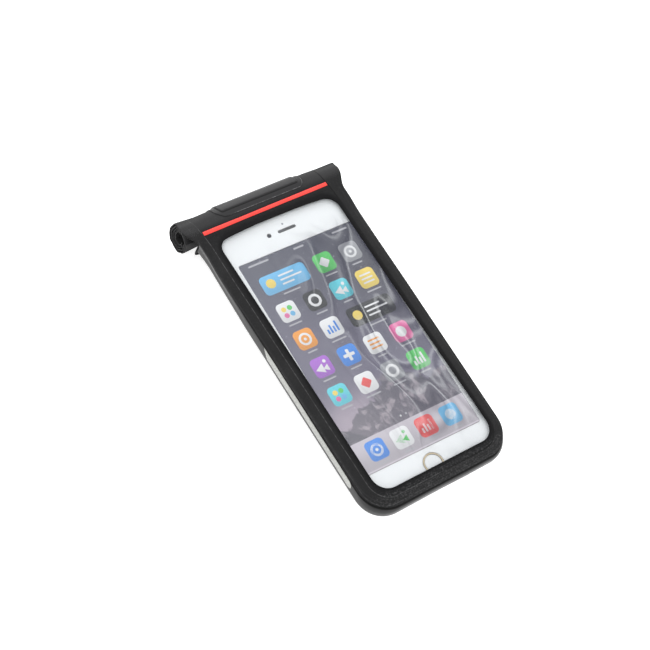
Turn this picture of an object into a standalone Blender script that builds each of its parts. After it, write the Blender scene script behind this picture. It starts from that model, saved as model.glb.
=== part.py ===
"""Roll-top waterproof phone pouch for a bicycle, with the phone it holds.

Metres, +Z up out of the window, +Y toward the rolled mouth, +X to the right.
Y = 0 is the middle of the phone's display until the whole part is centred.
"""

import math

import bmesh
import bpy
from mathutils import Matrix, Vector

# Clearances and sheet stock
GAP = 0.0003                 # between pieces that seat on one another
SHEET = 0.0008               # coated fabric
FILM = 0.0004                # clear window film
CUT_OVER = 0.0010            # cutters beyond what they cut

# Phone
PHONE_WIDTH = 0.0778
PHONE_LENGTH = 0.1581
PHONE_DEPTH = 0.0071
PHONE_CORNER = 0.0095        # corner radius in plan
PHONE_EDGE = 0.0010          # rounding of the rear and side edges
PHONE_TURN = math.radians(-1.18)
PHONE_SHIFT_X = 0.0009
GLASS_DEPTH = 0.0007
GLASS_INSET = 0.0002         # glass edge inside the rounding
SIDE_BEZEL = 0.0047          # white border beside the display
END_BEZEL = 0.01825          # white border above and below it
HOME_DIAMETER = 0.0108
HOME_DROP = 0.0086           # home button centre below the display edge
RING_WALL = 0.0007
DISPLAY_CORNER = 0.0004
RECEIVER_LENGTH = 0.0102
RECEIVER_HEIGHT = 0.0011
RECEIVER_RISE = 0.0092       # receiver slot centre above the display edge
RECEIVER_ROUNDING = 0.95     # share of the slot's half height
LENS_DIAMETER = 0.0019
LENS_OFFSET_X = 0.0106

# Stack behind the phone
MOUNT_HEIGHT = 0.0052
GASKET = 0.0006
BOARD = 0.0010
PAD = 0.0015

# Pouch body
SIDE_PLAY = 0.0016           # free room beside the turned phone
END_PLAY = 0.0007            # free room beyond the turned phone's ends
FILM_PLAY = 0.0007           # free room over it, so that it passes under the wall's lap
BULGE = 0.0003               # belly of the side wall beyond the front edge
END_BULGE = 0.0013           # the same at the bottom end
FRONT_CORNER = 0.0140        # plan radius of the front panel's lower corners
BELLY_CORNER = 0.0140
BACK_CORNER = 0.0150
WALL_SHOULDER = 0.0035       # height of the rounding under the front edge
WALL_HEEL = 0.0045           # height of the rounding above the back panel
HEEL_REACH = 0.0040          # how far that rounding draws in
FLANGE = 0.0026              # weld lap at both edges of the wall
TUCK_LENGTH = 0.060          # stretch below the neck where the wall leans in
NECK_TUCK = 0.0010           # how far it leans in at the neck
ROW_CROWDING = 1.6           # power that crowds the wall's columns toward the neck
NECK_BEND = 0.0014           # radius of the rear sheet's bends at the end wall
SPREAD_LEAD = 0.0030         # front sheet widens to the roll from here below the neck

# Window
SIDE_BORDER = 0.0085         # fabric between the opening and the face's edges
BOTTOM_BORDER = 0.0089
TOP_BORDER = 0.0028          # opening's upper edge below the neck
WINDOW_BOW = 0.0011          # rise of the top edge at its middle
WINDOW_TOP_RADIUS = 0.0068
WINDOW_BOTTOM_RADIUS = 0.0082
FILM_LAP = 0.0036            # film beyond the window opening
FILM_TOP_LAP = 0.0016        # the same at its upper edge, short of the end wall

# Rolled closure
ROLL_OVERHANG = 0.0044       # roll beyond the body at each end
ROLL_WIDTH_RADIUS = 0.0074   # half of the roll's outer turn along Y
ROLL_DEPTH_RADIUS = 0.0084   # half of it along Z
ROLL_TURNS = 1.75
ROLL_PITCH = 0.0024          # two sheets and their gaps
ROLL_SQUARENESS = 2.5        # exponent of the flattened turns
ROLL_STEPS = 24              # facets in one turn
TAPE = 0.0006                # hook and loop tapes
TAPE_HEIGHT = 0.0060
TAPE_END = 0.0100            # tapes shorter than the roll at each end
SLAT_PLAY = 0.0006           # room between the slat and the innermost turn
SLAT_END = 0.0025            # slat shorter than the roll at each end
SLAT_ROUNDING = 0.3          # share of the slat's depth

# Trim
STRIPE_RISE = 0.0028         # stripe's middle beyond the neck
STRIPE_REACH = 0.0024        # stripe beyond the window at each side
STRIPE_HEIGHT = 0.0021
STRIPE_DEPTH = 0.0003
STRIPE_CORNER = 0.0003
PATCH_HALF_LENGTH = 0.0255
PATCH_LEAD = 0.0013          # patch's straight part before the roll's top
PATCH_CORNER = 0.0045
PATCH_FLAT_STEPS = 3
PATCH_FINENESS = 4           # patch facets in one facet of the roll
PATCH_FLANGE = 0.0005
PATCH_PLATEAU = 0.0008
PATCH_STEP = 0.0030          # flange left bare round the plateau
PATCH_WRAP = 98.0            # degrees that the patch follows the roll
PLATEAU_SHORT = 15.0         # degrees by which the plateau ends before it
REFLECTOR_LENGTH = 0.0800
REFLECTOR_END = 0.0184       # its lower end above the bottom edge
REFLECTOR_FROM = 0.0015      # upper edge below the front face
REFLECTOR_HEIGHT = 0.0049
REFLECTOR_DEPTH = 0.0003

# Mount
MOUNT_LENGTH = 0.0520
MOUNT_WIDTH = 0.0380
MOUNT_FLANGE = 0.0016        # pad that the screws pull against the pouch
MOUNT_NECK = 0.0018          # height of the slot that the bracket's rails enter
SLOT_DEPTH = 0.0045
MOUNT_CORNER = 0.0040
LATCH_NOTCH = 0.0100         # round notch for the bracket's latch
SCREW_INSET_X = 0.0090       # screw axes inside the mount's edges
SCREW_INSET_Y = 0.0080
SCREW_SHANK = 0.0028
SCREW_HEAD = 0.0054
SCREW_HEAD_HEIGHT = 0.0012
SOCKET_DIAMETER = 0.0022
SOCKET_DEPTH = 0.0007
HOLE_PLAY = 0.0003           # radial clearance round shanks and heads

# Levels, from the mount's flat underside upward
MOUNT_TOP = MOUNT_HEIGHT
FOOT_TOP = MOUNT_TOP - MOUNT_FLANGE - MOUNT_NECK
SCREW_FLOOR = FOOT_TOP / 2
GASKET_LOW = MOUNT_TOP + GAP
BACK_OUTER = GASKET_LOW + GASKET + GAP
BACK_INNER = BACK_OUTER + SHEET
BOARD_LOW = BACK_INNER + GAP
PAD_LOW = BOARD_LOW + BOARD + GAP
PHONE_LOW = PAD_LOW + PAD + GAP
PHONE_TOP = PHONE_LOW + PHONE_DEPTH
FILM_LOW = PHONE_TOP + FILM_PLAY
FACE_INNER = FILM_LOW + FILM + GAP
FACE_OUTER = FACE_INNER + SHEET
FACE_MID = FACE_INNER + SHEET / 2
BACK_MID = BACK_OUTER + SHEET / 2
WALL_TOP = FACE_INNER - GAP - SHEET / 2
WALL_LOW = BACK_INNER + GAP + SHEET / 2

# Plan sizes that follow from the turned phone; half widths are to mid-sheet
SPAN_X = PHONE_WIDTH / 2 - PHONE_CORNER
SPAN_Y = PHONE_LENGTH / 2 - PHONE_CORNER
TURN_COS = math.cos(PHONE_TURN)
TURN_SIN = abs(math.sin(PHONE_TURN))
REACH_X = SPAN_X * TURN_COS + SPAN_Y * TURN_SIN + PHONE_CORNER
REACH_Y = SPAN_Y * TURN_COS + SPAN_X * TURN_SIN + PHONE_CORNER
BELLY_HALF = REACH_X + abs(PHONE_SHIFT_X) + SIDE_PLAY + SHEET / 2
BELLY_END = REACH_Y + END_PLAY + SHEET / 2
EDGE_HALF = BELLY_HALF - BULGE
EDGE_END = BELLY_END - END_BULGE
BACK_HALF = BELLY_HALF - HEEL_REACH
BACK_END = BELLY_END - HEEL_REACH
NECK_Y = REACH_Y + END_PLAY + SHEET / 2
DISPLAY_HALF = PHONE_WIDTH / 2 - SIDE_BEZEL
DISPLAY_END = PHONE_LENGTH / 2 - END_BEZEL
WINDOW_HALF = EDGE_HALF + SHEET / 2 - SIDE_BORDER
WINDOW_TOP = NECK_Y - TOP_BORDER
WINDOW_BOTTOM = -(EDGE_END + SHEET / 2 - BOTTOM_BORDER)
STRIPE_Y = NECK_Y + STRIPE_RISE
REFLECTOR_BOTTOM_Y = REFLECTOR_END - EDGE_END
REFLECTOR_TOP_Y = REFLECTOR_BOTTOM_Y + REFLECTOR_LENGTH

# Rolled closure, placed by the end wall, the two tapes and the near turn
NEAR_TURN = ROLL_WIDTH_RADIUS - 0.75 * ROLL_PITCH
TAPE_ROOM = 2 * TAPE + 3 * GAP
ROLL_Y = NECK_Y + SHEET + TAPE_ROOM + NEAR_TURN
ROLL_Z = FACE_MID - ROLL_DEPTH_RADIUS
ROLL_HALF_LENGTH = BELLY_HALF + ROLL_OVERHANG
SPREAD = SPREAD_LEAD + ROLL_Y - NECK_Y
PATCH_START_Y = ROLL_Y - PATCH_LEAD
LAYER_OFFSET = SHEET + GAP
CORE_INSET = ROLL_PITCH * ROLL_TURNS + LAYER_OFFSET + SHEET / 2 + SLAT_PLAY
SLAT_DEPTH = 2 * (ROLL_WIDTH_RADIUS - CORE_INSET)
SLAT_HEIGHT = 2 * (ROLL_DEPTH_RADIUS - CORE_INSET)
PATCH_OUTER = SHEET / 2 + GAP + PATCH_FLANGE + PATCH_PLATEAU

FINISHES = {
    "fabric": ((0.022, 0.022, 0.024), 0.62, 0.0),
    "wall_fabric": ((0.030, 0.030, 0.031), 0.42, 0.0),
    "film": ((0.80, 0.84, 0.86), 0.08, 0.0),
    "foam": ((0.05, 0.05, 0.055), 0.90, 0.0),
    "board": ((0.10, 0.10, 0.11), 0.60, 0.0),
    "rubber": ((0.028, 0.028, 0.030), 0.55, 0.0),
    "moulded": ((0.035, 0.035, 0.037), 0.45, 0.0),
    "red": ((0.72, 0.045, 0.040), 0.50, 0.0),
    "reflective": ((0.55, 0.56, 0.53), 0.35, 0.2),
    "steel": ((0.60, 0.60, 0.62), 0.30, 1.0),
    "tape": ((0.040, 0.040, 0.043), 0.95, 0.0),
    "white_glass": ((0.86, 0.88, 0.89), 0.10, 0.0),
    "display": ((0.32, 0.31, 0.40), 0.12, 0.0),
    "aluminium": ((0.70, 0.66, 0.58), 0.32, 1.0),
    "gold_ring": ((0.62, 0.52, 0.36), 0.28, 1.0),
    "dark": ((0.05, 0.05, 0.06), 0.30, 0.0),
}


def clear_scene():
    for item in list(bpy.data.objects):
        bpy.data.objects.remove(item, do_unlink=True)


def new_collection(name):
    collection = bpy.data.collections.new(name)
    bpy.context.scene.collection.children.link(collection)
    return collection


def finish(key):
    """The named finish as a Principled material, made once."""
    material = bpy.data.materials.get(key)
    if material is None:
        colour, roughness, metallic = FINISHES[key]
        material = bpy.data.materials.new(key)
        material.use_nodes = True
        shader = material.node_tree.nodes["Principled BSDF"]
        shader.inputs["Base Color"].default_value = (*colour, 1.0)
        shader.inputs["Roughness"].default_value = roughness
        shader.inputs["Metallic"].default_value = metallic
    return material


def smoothstep(value):
    value = min(max(value, 0.0), 1.0)
    return value * value * (3.0 - 2.0 * value)


def arc(centre, radius, start, end, steps):
    """Points from start to end degrees round a centre, both ends included."""
    angles = (math.radians(start + (end - start) * i / steps) for i in range(steps + 1))
    return [(centre[0] + radius * math.cos(a), centre[1] + radius * math.sin(a)) for a in angles]


def rounded_rectangle(half_x, low_y, high_y, low_radius, high_radius=None, steps=6):
    """Closed plan outline, counter-clockwise from the lower right corner."""
    high_radius = low_radius if high_radius is None else high_radius
    low_x, high_x = half_x - low_radius, half_x - high_radius
    outline = arc((low_x, low_y + low_radius), low_radius, -90, 0, steps)
    outline += arc((high_x, high_y - high_radius), high_radius, 0, 90, steps)
    outline += arc((-high_x, high_y - high_radius), high_radius, 90, 180, steps)
    outline += arc((-low_x, low_y + low_radius), low_radius, 180, 270, steps)
    return outline


class Pouch:
    """Holds the part's collections and root while its pieces are made."""

    def __init__(self):
        self.parts = new_collection("phone_pouch")
        self.cutters = new_collection("cutters")
        self.root = bpy.data.objects.new("pouch_root", None)
        self.root.location = (0.0, -middle_y(), 0.0)
        self.parts.objects.link(self.root)

    def add(self, name, mesh, key=None, smooth=False):
        """Link a mesh as a piece, or as a hidden cutter when it has no finish."""
        piece = bpy.data.objects.new(name, mesh)
        if smooth:
            mesh.shade_smooth()
        if key:
            mesh.materials.append(finish(key))
            self.parts.objects.link(piece)
        else:
            self.cutters.objects.link(piece)
            piece.hide_render = True
            piece.display_type = "WIRE"
        piece.parent = self.root
        return piece

    def plate(self, name, outline, low, high, key=None):
        """A flat piece from a closed plan outline between two heights."""
        curve = bpy.data.curves.new(name, "CURVE")
        curve.dimensions = "2D"
        curve.fill_mode = "BOTH"
        curve.extrude = (high - low) / 2
        spline = curve.splines.new("POLY")
        spline.points.add(len(outline) - 1)
        for point, (x, y) in zip(spline.points, outline):
            point.co = (x, y, 0.0, 1.0)
        spline.use_cyclic_u = True
        source = bpy.data.objects.new(name + "_outline", curve)
        mesh = bpy.data.meshes.new_from_object(source)
        bpy.data.objects.remove(source, do_unlink=True)
        shape = bmesh.new()
        shape.from_mesh(mesh)
        bmesh.ops.remove_doubles(shape, verts=shape.verts, dist=1e-6)
        bmesh.ops.translate(shape, verts=shape.verts, vec=(0, 0, (low + high) / 2))
        shape.to_mesh(mesh)
        shape.free()
        return self.add(name, mesh, key)

    def cylinder(self, name, centre, diameter, low, high, key=None, segments=24):
        """A round piece standing on Z."""
        shape = bmesh.new()
        place = Matrix.Translation((centre[0], centre[1], (low + high) / 2))
        bmesh.ops.create_cone(
            shape, cap_ends=True, segments=segments, depth=high - low,
            radius1=diameter / 2, radius2=diameter / 2, matrix=place,
        )
        mesh = bpy.data.meshes.new(name)
        shape.to_mesh(mesh)
        shape.free()
        return self.add(name, mesh, key)

    def sheet(self, name, stations, thickness, key=None):
        """A bent sheet: (y, z, left x, right x) mid-surface stations, lofted and closed."""
        shape = bmesh.new()
        rings = []
        for index, (y, z, left, right) in enumerate(stations):
            before = stations[max(index - 1, 0)]
            after = stations[min(index + 1, len(stations) - 1)]
            along = Vector((0.0, after[0] - before[0], after[1] - before[1])).normalized()
            out = Vector((0.0, -along.z, along.y)) * (thickness / 2)
            corners = [(left, out), (right, out), (right, -out), (left, -out)]
            rings.append([shape.verts.new(Vector((x, y, z)) + side) for x, side in corners])
        for first, second in zip(rings, rings[1:]):
            for i in range(4):
                j = (i + 1) % 4
                shape.faces.new((first[i], first[j], second[j], second[i]))
        shape.faces.new(rings[0])
        shape.faces.new(rings[-1])
        bmesh.ops.recalc_face_normals(shape, faces=shape.faces)
        mesh = bpy.data.meshes.new(name)
        shape.to_mesh(mesh)
        shape.free()
        return self.add(name, mesh, key)

    def skin(self, name, rows, thickness, key):
        """A lofted open surface given thickness by Solidify."""
        shape = bmesh.new()
        grid = [[shape.verts.new(point) for point in row] for row in rows]
        for upper, lower in zip(grid, grid[1:]):
            for i in range(len(upper) - 1):
                shape.faces.new((upper[i], upper[i + 1], lower[i + 1], lower[i]))
        bmesh.ops.recalc_face_normals(shape, faces=shape.faces)
        mesh = bpy.data.meshes.new(name)
        shape.to_mesh(mesh)
        shape.free()
        piece = self.add(name, mesh, key, smooth=True)
        wall = piece.modifiers.new("sheet", "SOLIDIFY")
        wall.thickness = thickness
        wall.offset = 0.0
        wall.use_even_offset = True
        return piece

    def combine(self, piece, cutter, operation="DIFFERENCE"):
        """Cut a piece with another, or join them."""
        boolean = piece.modifiers.new(cutter.name, "BOOLEAN")
        boolean.operation = operation
        boolean.solver = "EXACT"
        boolean.object = cutter

    def bevel(self, piece, width, segments=2, angle=40.0):
        rounding = piece.modifiers.new("edges", "BEVEL")
        rounding.width = width
        rounding.segments = segments
        rounding.limit_method = "ANGLE"
        rounding.angle_limit = math.radians(angle)


def neck_blend(y):
    """0 along the body, rising to 1 at the neck."""
    return smoothstep((y - NECK_Y + TUCK_LENGTH) / TUCK_LENGTH)


def corner_stations(half, end, radius, z, steps=6):
    """Stations of a flat sheet's rounded lower end, from the end edge upward."""
    stations = []
    for i in range(steps + 1):
        angle = math.radians(90.0 * i / steps)
        y = -end + radius * (1.0 - math.cos(angle))
        x = half - radius * (1.0 - math.sin(angle))
        stations.append((y, z, -x, x))
    return stations


def turn_point(angle, offset):
    """A point of the flattened spiral; angle in degrees past the top of the roll."""
    done = angle / 360.0
    width = ROLL_WIDTH_RADIUS - ROLL_PITCH * done + offset
    depth = ROLL_DEPTH_RADIUS - ROLL_PITCH * done + offset
    across = math.sin(math.radians(angle))
    up = math.cos(math.radians(angle))
    power = 2.0 / ROLL_SQUARENESS
    y = ROLL_Y + width * math.copysign(abs(across) ** power, across)
    z = ROLL_Z + depth * math.copysign(abs(up) ** power, up)
    return y, z


def spiral(offset, last_angle, first_angle=0.0):
    """Points of one layer of the roll, from the top round the far side."""
    step = 360.0 / ROLL_STEPS
    count = round((last_angle - first_angle) / step)
    return [turn_point(first_angle + step * i, offset) for i in range(count + 1)]


def middle_y():
    """Middle of the whole length, from the bottom end to the patch on the roll."""
    far = max(y for y, _ in spiral(PATCH_OUTER, 180.0))
    return (far - BELLY_END - SHEET / 2) / 2


def panel_half(y, edge=EDGE_HALF + SHEET / 2):
    """Half width of a sheet that widens from the body's edge to the roll."""
    return edge + (ROLL_HALF_LENGTH - edge) * smoothstep((y - NECK_Y + SPREAD_LEAD) / SPREAD)


def front_panel(pouch):
    """The outer sheet: flat face, window opening and the roll's outer layer."""
    half = EDGE_HALF + SHEET / 2
    stations = corner_stations(half, EDGE_END + SHEET / 2, FRONT_CORNER, FACE_MID)
    spread_start, steps = NECK_Y - SPREAD_LEAD, 10
    for i in range(steps):
        y = spread_start + SPREAD * i / steps
        stations.append((y, FACE_MID, -panel_half(y), panel_half(y)))
    for y, z in spiral(0.0, 360.0 * ROLL_TURNS):
        stations.append((y, z, -ROLL_HALF_LENGTH, ROLL_HALF_LENGTH))
    panel = pouch.sheet("front_panel", stations, SHEET, "fabric")
    outline = rounded_rectangle(
        WINDOW_HALF, WINDOW_BOTTOM, WINDOW_TOP, WINDOW_BOTTOM_RADIUS, WINDOW_TOP_RADIUS
    )
    flat_half = WINDOW_HALF - WINDOW_TOP_RADIUS
    bowed = []
    for x, y in outline:
        if y > WINDOW_TOP - WINDOW_TOP_RADIUS:
            y -= WINDOW_BOW * min(abs(x) / flat_half, 1.0) ** 2
        bowed.append((x, y))
    opening = pouch.plate("window_cutter", bowed, FACE_INNER - SHEET, FACE_OUTER + SHEET)
    pouch.combine(panel, opening)


def window_film(pouch):
    outline = rounded_rectangle(
        WINDOW_HALF + FILM_LAP, WINDOW_BOTTOM - FILM_LAP, WINDOW_TOP + FILM_TOP_LAP,
        WINDOW_BOTTOM_RADIUS, WINDOW_TOP_RADIUS,
    )
    pouch.plate("window_film", outline, FILM_LOW, FILM_LOW + FILM, "film")


def wall_levels():
    """Rows of the side wall from the front lap to the back lap: (outset, z, belly share)."""
    rows = [(-FLANGE, WALL_TOP, 0.0)]
    for degrees in (0, 25, 50, 70, 90):
        angle = math.radians(degrees)
        share = math.sin(angle)
        rows.append((BULGE * share, WALL_TOP - WALL_SHOULDER * (1 - math.cos(angle)), share))
    for degrees in (0, 30, 55, 75, 90):
        angle = math.radians(degrees)
        outset = BULGE - HEEL_REACH * (1 - math.cos(angle))
        rows.append((outset, WALL_LOW + WALL_HEEL * (1 - math.sin(angle)), 1.0))
    rows.append((BULGE - HEEL_REACH - FLANGE, WALL_LOW, 1.0))
    return rows


def wall_half(outset, share, y):
    """Half width of the wall at one level, which leans in toward the neck."""
    return EDGE_HALF + outset - NECK_TUCK * share * neck_blend(y)


def side_gusset(pouch):
    """One strip of fabric round both sides and the bottom end, welded at its laps."""
    side_steps, corner_steps = 12, 7
    rows = []
    for outset, z, share in wall_levels():
        top_y = NECK_Y - SHEET / 2 - GAP
        if z < WALL_LOW + NECK_BEND:
            top_y -= NECK_BEND
        end = EDGE_END + outset * END_BULGE / BULGE if outset > 0 else EDGE_END + outset
        radius = FRONT_CORNER + (BELLY_CORNER - FRONT_CORNER) * share
        if outset < BULGE and z < WALL_LOW + WALL_HEEL:
            drawn_in = (BULGE - outset) / (HEEL_REACH + FLANGE)
            end = BELLY_END - (BULGE - outset)
            radius += (BACK_CORNER - BELLY_CORNER) * drawn_in
        radius += min(outset, 0.0) if z > WALL_LOW + WALL_HEEL else 0.0
        half = EDGE_HALF + outset
        corner_y = -end + radius
        right = []
        for i in range(side_steps):
            y = top_y + (corner_y - top_y) * (i / side_steps) ** ROW_CROWDING
            right.append((wall_half(outset, share, y), y))
        for i in range(corner_steps + 1):
            angle = math.radians(-90.0 * i / corner_steps)
            right.append((
                half - radius + radius * math.cos(angle), corner_y + radius * math.sin(angle),
            ))
        left = [(-x, y) for x, y in reversed(right)]
        rows.append([(x, y, z) for x, y in right + left])
    pouch.skin("side_gusset", rows, SHEET, "wall_fabric")


def back_panel(pouch):
    """The rear sheet: flat back, end wall behind the phone, inner layer of the roll."""
    stations = corner_stations(BACK_HALF, BACK_END, BACK_CORNER - FLANGE, BACK_MID)
    bend = NECK_BEND
    tuck_start = NECK_Y - TUCK_LENGTH
    wall_end = wall_half(BULGE, 1.0, NECK_Y)
    for i in range(6):
        y = tuck_start + (NECK_Y - bend - tuck_start) * i / 5
        half = BACK_HALF - NECK_TUCK * neck_blend(y)
        stations.append((y, BACK_MID, -half, half))
    for y, z in arc((NECK_Y - bend, BACK_MID + bend), bend, -60, 0, 3):
        stations.append((y, z, -wall_end, wall_end))
    top_z = FACE_MID - LAYER_OFFSET
    for y, z in arc((NECK_Y + bend, top_z - bend), bend, 180, 90, 3):
        stations.append((y, z, -wall_end, wall_end))
    steps = 6
    for i in range(1, steps):
        y = NECK_Y + bend + (ROLL_Y - NECK_Y - bend) * i / steps
        half = panel_half(y, wall_end)
        stations.append((y, top_z, -half, half))
    for y, z in spiral(-LAYER_OFFSET, 360.0 * ROLL_TURNS):
        stations.append((y, z, -ROLL_HALF_LENGTH, ROLL_HALF_LENGTH))
    panel = pouch.sheet("back_panel", stations, SHEET, "fabric")
    screw_holes(pouch, panel, "panel_hole", SCREW_SHANK + 2 * HOLE_PLAY)


def roll_slat(pouch):
    """Stiff strip that the mouth is rolled round."""
    half = ROLL_HALF_LENGTH - SLAT_END
    low, high = ROLL_Z - SLAT_HEIGHT / 2, ROLL_Z + SLAT_HEIGHT / 2
    stations = [(ROLL_Y, low, -half, half), (ROLL_Y, high, -half, half)]
    slat = pouch.sheet("roll_slat", stations, SLAT_DEPTH, "board")
    pouch.bevel(slat, SLAT_DEPTH * SLAT_ROUNDING)


def closure_tapes(pouch):
    """Hook tape on the end wall and loop tape on the roll's near turn."""
    wall_face = NECK_Y + SHEET / 2
    low, high = ROLL_Z - TAPE_HEIGHT / 2, ROLL_Z + TAPE_HEIGHT / 2
    for name, face in (("hook_tape", wall_face + GAP), ("loop_tape", wall_face + TAPE + 2 * GAP)):
        y = face + TAPE / 2
        half = ROLL_HALF_LENGTH - TAPE_END
        pouch.sheet(name, [(y, low, -half, half), (y, high, -half, half)], TAPE, "tape")


def screw_places():
    across = MOUNT_WIDTH / 2 - SCREW_INSET_X
    along = MOUNT_LENGTH / 2 - SCREW_INSET_Y
    return [(x * across, y * along) for y in (-1, 1) for x in (-1, 1)]


def screw_holes(pouch, piece, name, diameter):
    """Cut the four screw holes through a piece of the back stack."""
    for number, place in enumerate(screw_places(), 1):
        hole = pouch.cylinder(f"{name}_{number}", place, diameter, -CUT_OVER, PHONE_LOW)
        pouch.combine(piece, hole)


def back_stack(pouch):
    """Gasket, stiffening board and foam pad between the mount and the phone."""
    gasket = pouch.plate(
        "mount_gasket",
        rounded_rectangle(MOUNT_WIDTH / 2, -MOUNT_LENGTH / 2, MOUNT_LENGTH / 2, MOUNT_CORNER),
        GASKET_LOW, GASKET_LOW + GASKET, "rubber",
    )
    screw_holes(pouch, gasket, "gasket_hole", SCREW_SHANK + 2 * HOLE_PLAY)
    lap_inner = BELLY_HALF - HEEL_REACH - FLANGE - NECK_TUCK
    board_half = lap_inner - SHEET / 2 - GAP
    board_end = BELLY_END - HEEL_REACH - FLANGE - SHEET / 2 - GAP
    board = pouch.plate(
        "back_board", rounded_rectangle(board_half, -board_end, board_end, BACK_CORNER),
        BOARD_LOW, BOARD_LOW + BOARD, "board",
    )
    screw_holes(pouch, board, "board_hole", SCREW_SHANK + 2 * HOLE_PLAY)
    pad = pouch.plate(
        "back_pad",
        rounded_rectangle(board_half + FLANGE / 2, -board_end, board_end, BACK_CORNER),
        PAD_LOW, PAD_LOW + PAD, "foam",
    )
    screw_holes(pouch, pad, "pad_hole", SCREW_HEAD + 2 * HOLE_PLAY)


def mount_base(pouch):
    """Slide-in cleat: top pad, necked slot for the bracket's rails, flat foot."""
    top = rounded_rectangle(MOUNT_WIDTH / 2, -MOUNT_LENGTH / 2, MOUNT_LENGTH / 2, MOUNT_CORNER)
    base = pouch.plate("mount_base", top, 0.0, MOUNT_TOP, "moulded")
    for side in (-1, 1):
        inner = side * (MOUNT_WIDTH / 2 - SLOT_DEPTH)
        outer = side * (MOUNT_WIDTH / 2 + CUT_OVER)
        low_x, high_x = min(inner, outer), max(inner, outer)
        span = MOUNT_LENGTH / 2 + CUT_OVER
        outline = [(low_x, -span), (high_x, -span), (high_x, span), (low_x, span)]
        name = "slot_cutter_right" if side > 0 else "slot_cutter_left"
        pouch.combine(base, pouch.plate(name, outline, FOOT_TOP, FOOT_TOP + MOUNT_NECK))
    pouch.combine(base, pouch.cylinder(
        "latch_cutter", (0.0, -MOUNT_LENGTH / 2), LATCH_NOTCH, -CUT_OVER, FOOT_TOP
    ))
    for number, place in enumerate(screw_places(), 1):
        hole = pouch.cylinder(
            f"base_hole_{number}", place, SCREW_SHANK + 2 * HOLE_PLAY, SCREW_FLOOR,
            MOUNT_TOP + CUT_OVER,
        )
        pouch.combine(base, hole)


def mount_screws(pouch):
    """Pan-head screws from inside the pouch through the back into the mount."""
    seat = BOARD_LOW + BOARD + GAP
    for number, place in enumerate(screw_places(), 1):
        head_top = seat + SCREW_HEAD_HEIGHT
        screw = pouch.cylinder(
            f"mount_screw_{number}", place, SCREW_HEAD, seat, head_top, "steel"
        )
        shank = pouch.cylinder(
            f"screw_shank_{number}", place, SCREW_SHANK, SCREW_FLOOR + GAP, seat + SHEET / 2
        )
        socket = pouch.cylinder(
            f"screw_socket_{number}", place, SOCKET_DIAMETER, head_top - SOCKET_DEPTH,
            head_top + GAP, segments=6,
        )
        pouch.combine(screw, shank, "UNION")
        pouch.combine(screw, socket)


def red_stripe(pouch):
    half, rise = WINDOW_HALF + STRIPE_REACH, STRIPE_HEIGHT / 2
    outline = rounded_rectangle(half, STRIPE_Y - rise, STRIPE_Y + rise, STRIPE_CORNER)
    low = FACE_OUTER + GAP
    pouch.plate("red_stripe", outline, low, low + STRIPE_DEPTH, "red")


def patch_stations(half, skip, corner, offset, last_angle):
    """Stations of a patch on the sheet and the roll, from a distance past its lower edge."""
    flat = ROLL_Y - PATCH_START_Y
    track = [(PATCH_START_Y + flat * i / PATCH_FLAT_STEPS, FACE_MID + offset)
             for i in range(PATCH_FLAT_STEPS)]
    step = 360.0 / ROLL_STEPS / PATCH_FINENESS
    track += [turn_point(step * i, offset) for i in range(int(last_angle / step) + 1)]
    stations, run = [], -skip
    for index, (y, z) in enumerate(track):
        run += math.dist(track[max(index - 1, 0)], (y, z))
        if run >= 0.0:
            left = max(corner - run, 0.0)
            x = half - corner + math.sqrt(corner ** 2 - left ** 2)
            stations.append((y, z, -x, x))
    return stations


def roll_patch(pouch):
    """Moulded patch over the roll: a thin flange and a raised plateau, left bare."""
    seat = SHEET / 2 + GAP
    flange = patch_stations(
        PATCH_HALF_LENGTH, 0.0, PATCH_CORNER, seat + PATCH_FLANGE / 2, PATCH_WRAP
    )
    patch = pouch.sheet("roll_patch", flange, PATCH_FLANGE, "rubber")
    rise = PATCH_FLANGE / 2 + PATCH_PLATEAU
    plateau = patch_stations(
        PATCH_HALF_LENGTH - PATCH_STEP, PATCH_STEP, PATCH_CORNER / 2,
        seat + PATCH_FLANGE / 2 + rise / 2, PATCH_WRAP - PLATEAU_SHORT,
    )
    raised = pouch.sheet("patch_plateau", plateau, rise)
    pouch.combine(patch, raised, "UNION")


def reflector_rows(side):
    """Rows of a reflective strip laid on the side wall, pointed at its upper end."""
    lift = SHEET / 2 + GAP + REFLECTOR_DEPTH / 2
    point, nose, steps = REFLECTOR_HEIGHT, REFLECTOR_HEIGHT / 2, 4
    rows = []
    for i in range(steps + 1):
        share = i / steps
        z = FACE_OUTER - REFLECTOR_FROM - REFLECTOR_HEIGHT * share
        rise = max(z - WALL_TOP + WALL_SHOULDER, 0.0) / (WALL_SHOULDER + lift)
        x = EDGE_HALF + (BULGE + lift) * math.sqrt(1.0 - rise ** 2)
        high = REFLECTOR_TOP_Y - point * share
        low = REFLECTOR_BOTTOM_Y + nose * (1 - math.sqrt(max(1 - (2 * share - 1) ** 2, 0.0)))
        count = 6
        rows.append([(side * x, high + (low - high) * j / count, z) for j in range(count + 1)])
    return rows


def reflectors(pouch):
    for side, name in ((-1, "reflector_left"), (1, "reflector_right")):
        pouch.skin(name, reflector_rows(side), REFLECTOR_DEPTH, "reflective")


def phone_frame(piece):
    """Turn and shift a phone piece as the phone lies in the pouch."""
    piece.rotation_euler = (0.0, 0.0, PHONE_TURN)
    piece.location.x = PHONE_SHIFT_X


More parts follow.
